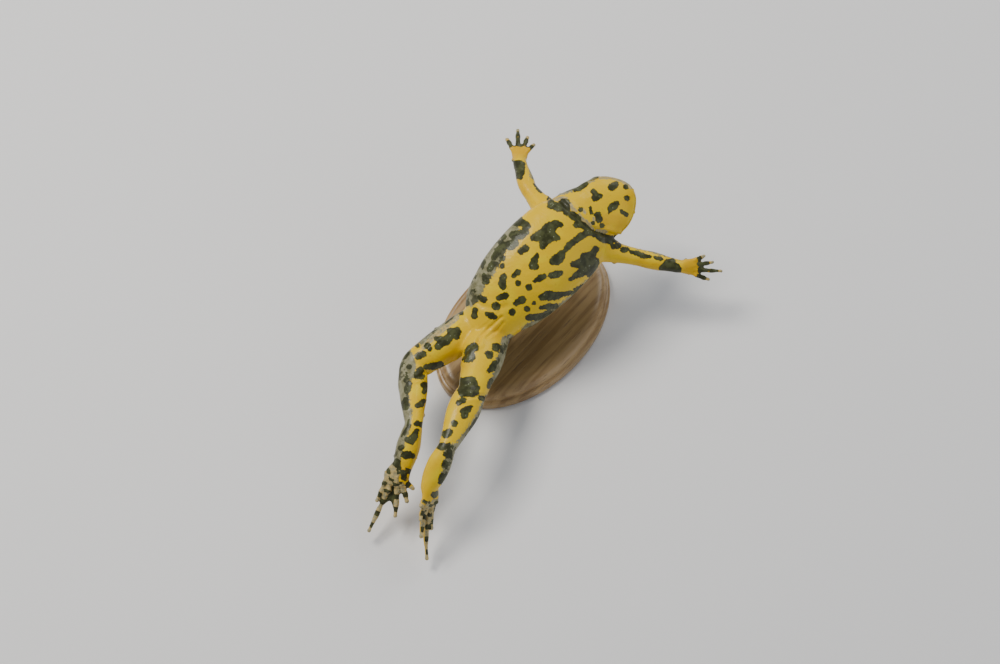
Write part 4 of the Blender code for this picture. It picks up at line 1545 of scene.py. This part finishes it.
RIGHT_ARM_LIMB = arm(Side.RIGHT, ((-5.0, 24.8, 1.2), (-11.3, 27.1, -3.4), (-15.1, 30.8, -7.6)))
LEFT_ARM_LIMB = arm(Side.LEFT, ((6.3, 26.3, 2.2), (14.4, 30.9, 1.8), (21.5, 34.9, 2.4)))
RIGHT_LEG_LIMB = leg(
    Side.RIGHT, ((-1.6, -1.0, -1.4), (-5.9, -16.1, -2.0), (0.5, -26.4, 5.8), (4.0, -33.3, 5.4))
)
LEFT_LEG_LIMB = leg(
    Side.LEFT, ((1.4, -0.8, 0.0), (4.9, -13.6, 7.1), (7.3, -26.3, 11.8), (9.9, -33.4, 9.7))
)


@dataclass
class Rays:
    """How points of hands and feet lie about the rays of their digits.

    Attributes:
        between: 1 midway between two rays and 0 on them.
        from_tip: The length from the nearest ray's place to its tip, 9 on other flesh.
        beyond: The length from the nearest ray's knuckle to that place, 9 on other flesh.
        share: Rises from 0 at the wrist or heel to 1 a little further on.
        inner: Whether the point lies on the first digit's side.
    """

    between: Array
    from_tip: Array
    beyond: Array
    share: Array
    inner: Array


@dataclass(frozen=True)
class Softness:
    """Where the skin is smoothed because pieces of flesh meet.

    Attributes:
        neck: A place in the neck.
        vent: A place at the vent.
        neck_reach: How far about the neck the skin is smoothed.
        vent_reach: How far about the vent.
        root_reach: How far about a limb's root.
        upper_reach: How far about a place a little down the limb.
        joint_reach: How far about the other joints.
        brow_reach: How far about an eye.
        crease_reach: How far about the crease beside a limb's root.
        join_rounds: How often the whole is smoothed.
        crease_rounds: How often the creases are smoothed once more.
    """

    neck: Row = (-0.1, 25.5, 3.1)
    vent: Row = (0.0, -5.0, -1.0)
    neck_reach: float = 9.0
    vent_reach: float = 6.0
    root_reach: float = 6.5
    upper_reach: float = 5.5
    joint_reach: float = 3.4
    brow_reach: float = 4.0
    crease_reach: float = 4.5
    join_rounds: int = 22
    crease_rounds: int = 40

    def joins(self, toad: "Toad", points: Array) -> Array:
        """Return a weight that is 1 where pieces of flesh meet and 0 away from there."""
        places = [(toad.head.start, self.neck_reach), (self.neck, self.neck_reach)]
        places.append((self.vent, self.vent_reach))
        for limb in toad.limbs:
            first, second = np.asarray(limb.joints[:2], float)
            places += [(first, self.root_reach), (first * 0.72 + second * 0.28, self.upper_reach)]
            places += [(joint, self.joint_reach) for joint in limb.joints[1:]]
        places += [(eye.frame(toad.head)[0], self.brow_reach) for eye in toad.eyes]
        humps = [hump(np.linalg.norm(points - place, axis=1), reach) for place, reach in places]
        return np.max(humps, axis=0)

    def creases(self, toad: "Toad", points: Array) -> Array:
        """Return a weight that is 1 where limbs leave the trunk and 0 away from there."""
        gaps = []
        for limb in toad.limbs:
            first, second = np.asarray(limb.joints[:2], float)
            gaps.append(np.linalg.norm(points - first * 0.6 - second * 0.4, axis=1))
        return hump(np.min(gaps, axis=0), self.crease_reach)

    def apply(self, toad: "Toad", hide: Hide) -> None:
        """Smooth the skin."""
        points = hide.points.copy()
        even = np.ones(len(points))
        for _ in range(4):
            hide.relax(0.5 * even, 1)
            hide.relax(-0.48 * even, 1)
        hide.relax(0.5 * self.joins(toad, points), self.join_rounds)
        hide.relax(0.5 * self.creases(toad, hide.points), self.crease_rounds)


@dataclass(frozen=True)
class Warts:
    """Warts of the upper side: how many, their radii, their height over radius and their gaps."""

    count: int = 680
    radii: Row = (0.36, 0.95)
    height: float = 0.5
    gap: float = 0.1
    least_above: float = 0.35
    seed: int = 7

    def scatter(self, points: Array, above: Array) -> tuple[Array, Array]:
        """Scatter warts over the upper side.

        Each wart is a dome, one less the square of the distance over its radius, squared, with
        a small point of its own in the middle. Later warts keep clear of earlier ones.

        Args:
            points: The skin's points.
            above: How far each point's skin turns upwards.

        Returns:
            The height and the share of a wart's radius at each point, 1 in its middle.
        """
        rng = np.random.default_rng(self.seed)
        height = np.zeros(len(above))
        shape = np.zeros(len(above))
        places: list[Array] = []
        reaches: list[float] = []
        for index in rng.permutation(np.flatnonzero(above > self.least_above)):
            if len(places) >= self.count:
                break
            low, high = self.radii
            radius = low + (high - low) * rng.random() ** 2.0
            centre = points[index]
            if places:
                gaps = np.linalg.norm(np.asarray(places) - centre, axis=1) - np.asarray(reaches) - radius
                if gaps.min() < self.gap:
                    continue
            places.append(centre)
            reaches.append(radius)
            share = np.linalg.norm(points - centre, axis=1) / radius
            dome = np.square(np.clip(1 - np.square(share), 0, 1))
            height = np.maximum(height, dome * radius * self.height)
            shape = np.maximum(shape, np.clip(1 - share, 0, 1))
        return height, shape


@dataclass
class Toad:
    """The toad's skin, webs and eyes.

    Attributes:
        view: The photograph's view of it.
        voxel: The side of the skin's squares.
        first_bar: How far the first bar of a digit lies from its tip.
        bar_spacing: How far the bars lie from each other.
        sleeve: Half the length of the dark sleeve about a wrist.
    """

    view: PhotoView
    trunk: Trunk = field(default_factory=Trunk)
    head: Head = field(default_factory=Head)
    eyes: tuple[Eye, ...] = (Eye(Side.RIGHT), Eye(Side.LEFT))
    limbs: tuple[Limb, ...] = (RIGHT_ARM_LIMB, LEFT_ARM_LIMB, RIGHT_LEG_LIMB, LEFT_LEG_LIMB)
    ends: tuple[Extremity, ...] = (
        hand(RIGHT_ARM_LIMB, (-3.3, 6.3, -5.3), (0.72, 0.63, 0.28), 0.75),
        hand(LEFT_ARM_LIMB, (7.3, 5.7, 1.1), (-2.0, 3.0, 1.2), 0.65),
        foot(RIGHT_LEG_LIMB, (4.4, -14.3, -4.6), (4.6, -1.8, 0.6), 1.0, (-0.4, 2.0)),
        foot(LEFT_LEG_LIMB, (10.3, -11.7, -3.4), (-0.9, -0.5, 0.9), 0.7, (1.6, 4.0)),
    )
    softness: Softness = Softness()
    warts: Warts = Warts()
    voxel: float = 0.22
    first_bar: float = 1.6
    bar_spacing: float = 2.5
    sleeve: float = 1.9

    @property
    def flesh_nodes(self) -> list[str]:
        """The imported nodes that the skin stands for."""
        names = ["torso", "head"]
        for limb in self.limbs:
            names += limb.names
        return names + [end.name for end in self.ends]

    def rough_skin(self) -> Hide:
        """Join the lofted pieces into one closed surface of even squares."""
        parts = [self.trunk.surface(), self.head.surface()]
        parts += [eye.brow(self.head) for eye in self.eyes]
        for piece in (*self.limbs, *self.ends):
            parts += piece.surfaces()
        item = add_object("rough", Surface.join(parts).mesh("rough"))
        remesh = item.modifiers.new("remesh", "REMESH")
        remesh.mode = "VOXEL"
        remesh.voxel_size = self.voxel
        graph = bpy.context.evaluated_depsgraph_get()
        mesh = bpy.data.meshes.new_from_object(item.evaluated_get(graph))
        bpy.data.objects.remove(item, do_unlink=True)
        mesh.name = "skin"
        return Hide(mesh)

    def owners(self, points: Array) -> tuple[Array, Array]:
        """Find the bone that each point lies nearest, for the bone's radius.

        Returns:
            The bone's region, and whether it is a digit's.
        """
        bones = [self.trunk.bone(), self.head.bone()]
        for piece in (*self.limbs, *self.ends):
            bones += piece.bones()
        gaps = []
        for bone in bones:
            gap, _, place = distance_to_path(points, bone.path)
            gaps.append(gap / np.interp(place, np.arange(len(bone.path)), bone.radii))
        owner = np.argmin(gaps, axis=0)
        regions = np.array([bone.region for bone in bones])
        digits = np.array([bone.digit for bone in bones])
        return regions[owner], digits[owner]

    def head_detail(self, hide: Hide) -> Array:
        """Return which points lie near the eyes, the mouth or the nostrils."""
        share, out, up = self.head.places(hide.points)
        near_mouth = (np.abs(up - self.head.mouth_height) < 0.75) & (share > self.head.mouth_from - 0.05)
        chosen = near_mouth & (share < 1.3) & (np.abs(out) < 8)
        for eye in self.eyes:
            oval, height = eye.ovals(self.head, hide.points)
            chosen |= (oval < 1.5) & (height > 0.4) & (height < 4)
        for centre in self.nostrils():
            chosen |= np.linalg.norm(hide.points - centre, axis=1) < 1.1
        return chosen

    def nostrils(self) -> list[Array]:
        """Return the middles of the nostrils."""
        place, out, up = self.head.nostril_place
        return [self.head.point(place, out * side.value, up) for side in Side]

    def shape_face(self, hide: Hide) -> None:
        """Cut the mouth's line, sink the eyes' sockets and the nostrils, and raise their rims.

        The mouth's line is a bell-shaped groove about a plane across the snout, between two
        lower swellings for the lips. A socket's floor drops by a step of the oval distance.
        """
        share, out, up = self.head.places(hide.points)
        in_head = rise(share, self.head.mouth_from, self.head.mouth_from + 0.08) * (np.abs(out) < 8)
        in_head = in_head * (share < 1.3)
        line = up - self.head.mouth_height
        groove = -self.head.line_depth * hump(line, self.head.line_width)
        lips = sum(height * hump(line - place, width) for height, place, width in self.head.lips)
        hide.raise_by(in_head * (groove + lips))
        for eye in self.eyes:
            oval, height = eye.ovals(self.head, hide.points)
            _, look, _, _ = eye.frame(self.head)
            near = (height > 0.3) & (height < 4)
            drop = near * eye.socket_depth * (1 - rise(oval, 0.9, 1.02))
            rim = near * eye.rim * (hump(oval - 1.12, 0.09) + 0.5 * hump(oval - 1.42, 0.1))
            furrow = near * 0.1 * hump(oval - 1.28, 0.07)
            hide.points += hide.normals * (rim - furrow)[:, None] - look * drop[:, None]
        hide.write()
        for centre in self.nostrils():
            gap = np.linalg.norm(hide.points - centre, axis=1)
            radius = self.head.nostril_radius
            pit = -self.head.nostril_depth * hump(gap, radius)
            hide.raise_by(pit + 0.1 * hump(gap - radius * 1.9, radius * 0.6))

    def sight(self, hide: Hide, names: Array) -> Sight:
        """Return what the photograph shows of the skin's points."""
        facing = hide.normals @ self.view.towards()
        return Sight(self.view.pixels(hide.points), facing, names, self.view.pixels_per_mm)

    def digit_rays(self, hide: Hide, names: Array) -> Rays:
        """Measure hands and feet along the rays that their digits make, in the pad's plane.

        A point lies between two rays as far as its gaps to the nearest and the next one are alike.
        """
        count = len(names)
        rays = Rays(np.zeros(count), *np.full((2, count), 9.0), np.zeros(count), np.zeros(count, bool))
        for end in self.ends:
            chosen = np.flatnonzero(names == end.name)
            points = hide.points[chosen]
            plan = np.column_stack(end.axes[:2])
            gaps, rests, offsets = [], [], []
            for ray in end.rays():
                gap, run, _ = distance_to_path(points @ plan, ray @ plan)
                lengths = np.linalg.norm(np.diff(ray @ plan, axis=0), axis=1)
                gaps.append(gap)
                rests.append(lengths.sum() - run)
                offsets.append(run - lengths[0])
            nearest = np.argmin(gaps, axis=0), np.arange(len(chosen))
            first, second = np.sort(gaps, axis=0)[:2]
            rays.between[chosen] = rise(first / second, 0.5, 0.9) * rise(first, 0.1, 0.3)
            rays.from_tip[chosen] = np.asarray(rests)[nearest]
            rays.beyond[chosen] = np.asarray(offsets)[nearest]
            rays.share[chosen] = rise(end.along(points), *end.heel)
            rays.inner[chosen] = (nearest[0] == 0) | ((nearest[0] == 1) & (rays.beyond[chosen] < 0.5))
        for _ in range(3):
            rays.between = hide.neighbour_mean(rays.between[:, None])[:, 0]
        return rays

    def upper_side(self, hide: Hide, names: Array, share: Array) -> Array:
        """Return how far each point's normal turns to the animal's upper side, from -1 to 1."""
        towards = self.view.towards()
        below = np.tile(towards, (len(names), 1))
        _, _, throat = self.head.axes
        below[within(names, "head")] = unit(throat * 0.6 + towards * 0.4)
        for end in self.ends:
            _, _, normal = end.axes
            on_it = names == end.name
            below[on_it] += share[on_it, None] * (-normal - towards)
        return -np.einsum("ij,ij->i", hide.normals, below)

    def dark_value(self, hide: Hide, sight: Sight, upper: Array, rays: Rays) -> Array:
        """Return how far each point lies inside slate skin.

        Toes and fingers carry bars that follow the cosine of the length from their tips. Dark lines
        between the toes, painted shade in the gaps, and sleeves round the wrists that the photograph
        doesn't see, are added.
        """
        names, from_tip = sight.names, rays.from_tip
        _, digits = self.owners(hide.points)
        seen, on_top = self.seen(sight), self.on_top(upper)
        dark = sight.marks(DARK_MARKS) * seen - 1.5 * (1 - seen)
        wave = np.cos(2 * math.pi * (from_tip - self.first_bar) / self.bar_spacing)
        bars = 0.5 * wave - 0.08 - 0.25 * (~digits)
        # Dark lines midway between the toes' rays: painted shade in the gaps between the toes.
        bars = np.maximum(bars, rays.between - 0.35)
        bars = np.minimum(bars, 1.2 * (from_tip - 1.0)) - 1.2 * (1 - on_top) - 0.8 * (1 - rays.share)
        dark = np.where(within(names, "foot"), np.maximum(dark, bars), dark)
        fingers = np.minimum(0.6 * (rays.beyond - 1.3), 1.2 * (from_tip - 0.9))
        fingers = np.minimum(0.3 + 0.25 * wave, fingers)
        hands = within(names, "hand")
        dark = np.where(hands, np.maximum(np.where(digits, -0.6, dark), fingers), dark)
        for limb in self.limbs[:2]:
            gap = np.linalg.norm(hide.points - np.asarray(limb.joints[-1]), axis=1)
            sleeve = self.sleeve - np.abs(gap - 0.4)
            arm_end = within(names, f"hand_{limb.side.word}", f"forearm_{limb.side.word}")
            dark = np.where(arm_end & (seen < 0.5) & ~digits, np.maximum(dark, sleeve), dark)
        return dark

    def back_value(self, hide: Hide, sight: Sight, upper: Array, rays: Rays) -> Array:
        """Return how far each point lies inside the grey upper side, whose border wanders."""
        wander = 0.14 + 0.13 * lattice_noise(hide.points, 4.2, 3)
        wander += 0.05 * lattice_noise(hide.points, 1.5, 4)
        back = 3.0 * (upper - np.where(rays.share > 0.5, 0.02, wander))
        back = np.maximum(back, sight.marks(BACK_MARKS, -0.4))
        back = np.where(within(sight.names, "foot") & rays.inner, -1.0, back)
        for eye in self.eyes:
            oval, height = eye.ovals(self.head, hide.points)
            back = np.where(height > 0, np.maximum(back, 3.0 * (1 - oval / 2.0)), back)
        return back

    def seen(self, sight: Sight) -> Array:
        """Return 1 where the photograph sees the skin and 0 where it doesn't."""
        return rise(sight.facing, -0.02, 0.2)

    def on_top(self, upper: Array) -> Array:
        """Return 1 on the animal's upper side and 0 on its under side."""
        return rise(upper, -0.25, 0.1)

    def paint(self, hide: Hide, names: Array, upper: Array, wart: Array, rays: Rays) -> dict[str, Array]:
        """Work out the markings' values at each point, and painted shade where the skin turns away."""
        sight = self.sight(hide, names)
        _, digits = self.owners(hide.points)
        hands, feet = within(names, "hand"), within(names, "foot")
        seen, on_top, share = self.seen(sight), self.on_top(upper), rays.share
        back = self.back_value(hide, sight, upper, rays)
        pale = rise(sight.marks(PALE_MARKS), -0.25, 0.25) * seen
        pale = np.maximum(pale, 0.9 * feet * share * on_top * ~rays.inner)
        pale = np.maximum(pale, 0.8 * digits * rise(-rays.from_tip, -1.1, -0.6))
        warm = 0.4 * rise(sight.marks(WARM_MARKS), -1.2, 0.8)
        warm = np.maximum(warm, (0.7 * hands + 0.5 * feet) * share * (1 - on_top))
        warm = np.maximum(warm, 0.5 * feet * share * rays.inner)
        # Painted shade: skin turned away from the camera is tinted deeper amber.
        warm = np.maximum(warm, 0.3 * rise(-sight.facing, -0.5, -0.1))
        free = np.maximum(1 - seen, rise(back, 0.1, 0.5)) * ~(digits | feet)
        dark = self.dark_value(hide, sight, upper, rays)
        return {"dark": dark, "back": back, "pale": pale, "warm": warm, "wart": wart, "free": free}

    def build_skin(self, material: bpy.types.Material) -> bpy.types.Object:
        """Make the one skin that covers all flesh."""
        hide = self.rough_skin()
        self.softness.apply(self, hide)
        hide.refine(self.head_detail(hide))
        hide.refine(self.head_detail(hide))
        hide.relax(0.5 * self.head_detail(hide), 3)
        names, digits = self.owners(hide.points)
        self.shape_face(hide)
        hide.raise_by(self.sight(hide, names).folds())
        rays = self.digit_rays(hide, names)
        hide.raise_by(-0.2 * rays.share * rays.between)
        upper = self.upper_side(hide, names, rays.share)
        noise = 0.09 * lattice_noise(hide.points, 3.1, 1) + 0.03 * lattice_noise(hide.points, 1.3, 2)
        calm = self.calm(hide)
        hide.raise_by(noise * calm)
        above = np.where(digits | (calm < 0.9), -1, upper)
        height, wart = self.warts.scatter(hide.points, above)
        hide.raise_by(height)
        values = self.paint(hide, names, upper, wart, rays)
        hide.points = self.view.pose.place(hide.points) * MM
        hide.write()
        write_values(hide.mesh, values)
        outward(hide.mesh)
        return add_piece("toad_skin", hide.mesh, material, self.flesh_nodes)

    def calm(self, hide: Hide) -> Array:
        """Return 0 at the eyes and nostrils, where the skin stays even, and 1 elsewhere."""
        calm = np.ones(len(hide.points))
        for eye in self.eyes:
            oval, height = eye.ovals(self.head, hide.points)
            calm *= np.where(height > 0, rise(oval, 1.1, 1.5), 1.0)
        for centre in self.nostrils():
            calm *= rise(np.linalg.norm(hide.points - centre, axis=1), 0.4, 1.0)
        return calm

    def build_webs(self, material: bpy.types.Material) -> None:
        """Make the webs of each foot as one thin piece."""
        for end in self.ends:
            if not end.webbed:
                continue
            surface = Surface.join(end.webs())
            mesh = surface.moved(self.view.pose.place(surface.points) * MM).mesh("web")
            count = len(mesh.vertices)
            # Webs take the grey upper-side colour and slate: partly their own dark skin, partly painted
            # shade between the toes.
            values = {"dark": 0.3, "back": 1.0, "pale": 0.0, "warm": 0.3, "wart": 0.0, "free": 0.0}
            write_values(mesh, {name: np.full(count, value) for name, value in values.items()})
            item = add_piece(f"toad_web_{end.side.word}", mesh, material)
            wall = item.modifiers.new("thickness", "SOLIDIFY")
            wall.thickness = 0.2 * MM
            wall.offset = 0

    def build_eyes(self, material: bpy.types.Material) -> None:
        """Make the two eyeballs."""
        for eye in self.eyes:
            surface, values = eye.eyeball(self.head)
            mesh = surface.moved(self.view.pose.place(surface.points) * MM).mesh("eye")
            write_values(mesh, values)
            outward(mesh)
            name = "eye_" + eye.side.word
            add_piece("toad_" + name, mesh, material, (name,))


@dataclass
class Stand:
    """The oval base and the two rods that carry the toad."""

    edge: tuple[Row, ...] = (
        (0.55, 0.0),
        (0.12, 0.16),
        (0.0, 0.5),
        (0.0, 1.45),
        (0.12, 1.75),
        (0.42, 1.95),
        (0.75, 2.05),
        (0.8, 2.4),
        (0.95, 3.0),
        (1.3, 3.5),
        (1.8, 3.82),
        (2.5, 3.97),
        (3.4, 4.0),
    )
    collar: tuple[Row, ...] = ((2.3, 0.0), (2.3, 0.35), (2.1, 0.6), (1.6, 0.75), (1.5, 1.25), (1.12, 1.4))
    rod_sides: int = 64

    def base(self, material: bpy.types.Material) -> None:
        """Sweep the edge's profile round the oval.

        A point of the profile lies its first number inside the oval's half width and half
        length, at its second number's height.
        """
        low, high = (np.asarray(corner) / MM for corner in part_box("stand_base"))
        middle, half = (low + high) / 2, (high - low) / 2
        profile = through(self.edge, 4)
        angle = np.linspace(0, 2 * math.pi, 144, endpoint=False)[None, :]
        inset, height = profile[:, :1], profile[:, 1:] + 0 * angle
        wide = middle[0] + (half[0] - inset) * np.cos(angle)
        long = middle[1] + (half[1] - inset) * np.sin(angle)
        rings = np.stack([wide, long, low[2] + height], axis=-1)
        self.place("stand_oval_base", rings, material, "stand_base")

    def rods(self, material: bpy.types.Material) -> None:
        """Make each rod and the collar that holds it on the base."""
        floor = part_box("stand_base")[1][2] / MM
        for name in ("front", "rear"):
            node = "stand_rod_" + name
            low, high = (np.asarray(corner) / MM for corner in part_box(node))
            middle, radius = (low + high) / 2, (high[0] - low[0]) / 2
            tall = np.linspace(floor - 0.1, high[2], 24)
            column = np.column_stack([np.full(len(tall), radius), tall])
            self.place("stand_steel_rod_" + name, self.turned(middle, column), material, node)
            profile = through(self.collar, 3) + (0.0, floor)
            self.place("stand_collar_" + name, self.turned(middle, profile), material)

    def turned(self, middle: Array, profile: Array) -> Array:
        """Turn a profile of radius and height round an upright axis, into rings."""
        angle = np.linspace(0, 2 * math.pi, self.rod_sides, endpoint=False)[None, :]
        radius, height = profile[:, :1], profile[:, 1:]
        across = [middle[0] + radius * np.cos(angle), middle[1] + radius * np.sin(angle)]
        return np.stack([*across, height + 0 * angle], axis=-1)

    def place(self, name: str, rings: Array, material: bpy.types.Material, node: str = "") -> None:
        """Close the rings and add them as a piece."""
        closed = tube(rings)
        mesh = closed.moved(closed.points * MM).mesh(name)
        outward(mesh)
        add_piece(name, mesh, material, (node,) if node else ())


@dataclass(frozen=True)
class Lamp:
    """A square lamp that shines on the model from a way off.

    Attributes:
        way: How far it stands to the picture's right, to its top, and upright, as shares.
        distance: Its distance from the model, in metres.
        size: Its side, in metres.
        power: Its power, in watts.
        colour: The colour of its light.
    """

    name: str
    way: Row
    distance: float
    size: float
    power: float
    colour: Row

    def add(self, view: PhotoView) -> None:
        """Add the lamp."""
        data = bpy.data.lights.new(self.name, "AREA")
        data.shape = "SQUARE"
        data.size = self.size
        data.energy = self.power
        data.color = self.colour
        right, top, _ = view.axes
        axis = unit(np.array([0.0, 0.0, self.way[2]]) + top * self.way[1] + right * self.way[0])
        side = unit(np.cross((0, 0, 1), axis))
        place = view.target * MM + axis * self.distance
        set_axes(add_object(self.name, data), side, np.cross(axis, side), axis, place)


@dataclass
class Studio:
    """Pale floor and soft lights about the model."""

    view: PhotoView
    floor_size: float = 3.0
    world: Row = (0.80, 0.86, 1.0)
    world_strength: float = 0.28
    lamps: tuple[Lamp, ...] = (
        Lamp("key", (-0.6, 0.35, 1.0), 0.55, 0.22, 2.6, (1.0, 0.97, 0.92)),
        Lamp("fill", (0.9, -0.5, 0.6), 0.6, 0.4, 0.5, (0.92, 0.96, 1.0)),
        Lamp("back", (0.55, 0.9, 0.35), 0.55, 0.25, 0.7, (1.0, 1.0, 1.0)),
    )

    def build(self) -> None:
        """Make the floor, the sky's light and the lamps."""
        self.add_floor()
        sky = bpy.data.worlds.new("studio")
        sky.use_nodes = True
        background = sky.node_tree.nodes["Background"]
        background.inputs[0].default_value = (*self.world, 1.0)
        background.inputs[1].default_value = self.world_strength
        bpy.context.scene.world = sky
        for lamp in self.lamps:
            lamp.add(self.view)

    def add_floor(self) -> None:
        """Make the floor."""
        side = self.floor_size / 2
        grid = np.array([[(x, y, 0.0) for x in (-side, side)] for y in (-side, side)])
        mesh = sheet(grid).mesh("floor")
        mesh.materials.append(FloorFinish().material())
        add_object("studio_floor", mesh)


def main() -> None:
    """Build the toad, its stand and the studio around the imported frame."""
    logging.basicConfig(level=logging.INFO, format="%(name)s %(message)s")
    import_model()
    pose = BodyPose.from_eye(Eye(Side.LEFT), Head(), "eye_left")
    view = PhotoView(pose)
    toad = Toad(view)
    skin = SkinFinish().material()
    toad.build_skin(skin)
    toad.build_webs(skin)
    toad.build_eyes(EyeFinish().material())
    stand = Stand()
    stand.base(OakFinish().material())
    stand.rods(SteelFinish().material())
    Studio(view).build()
    view.add_camera()


if __name__ == "__main__":
    main()
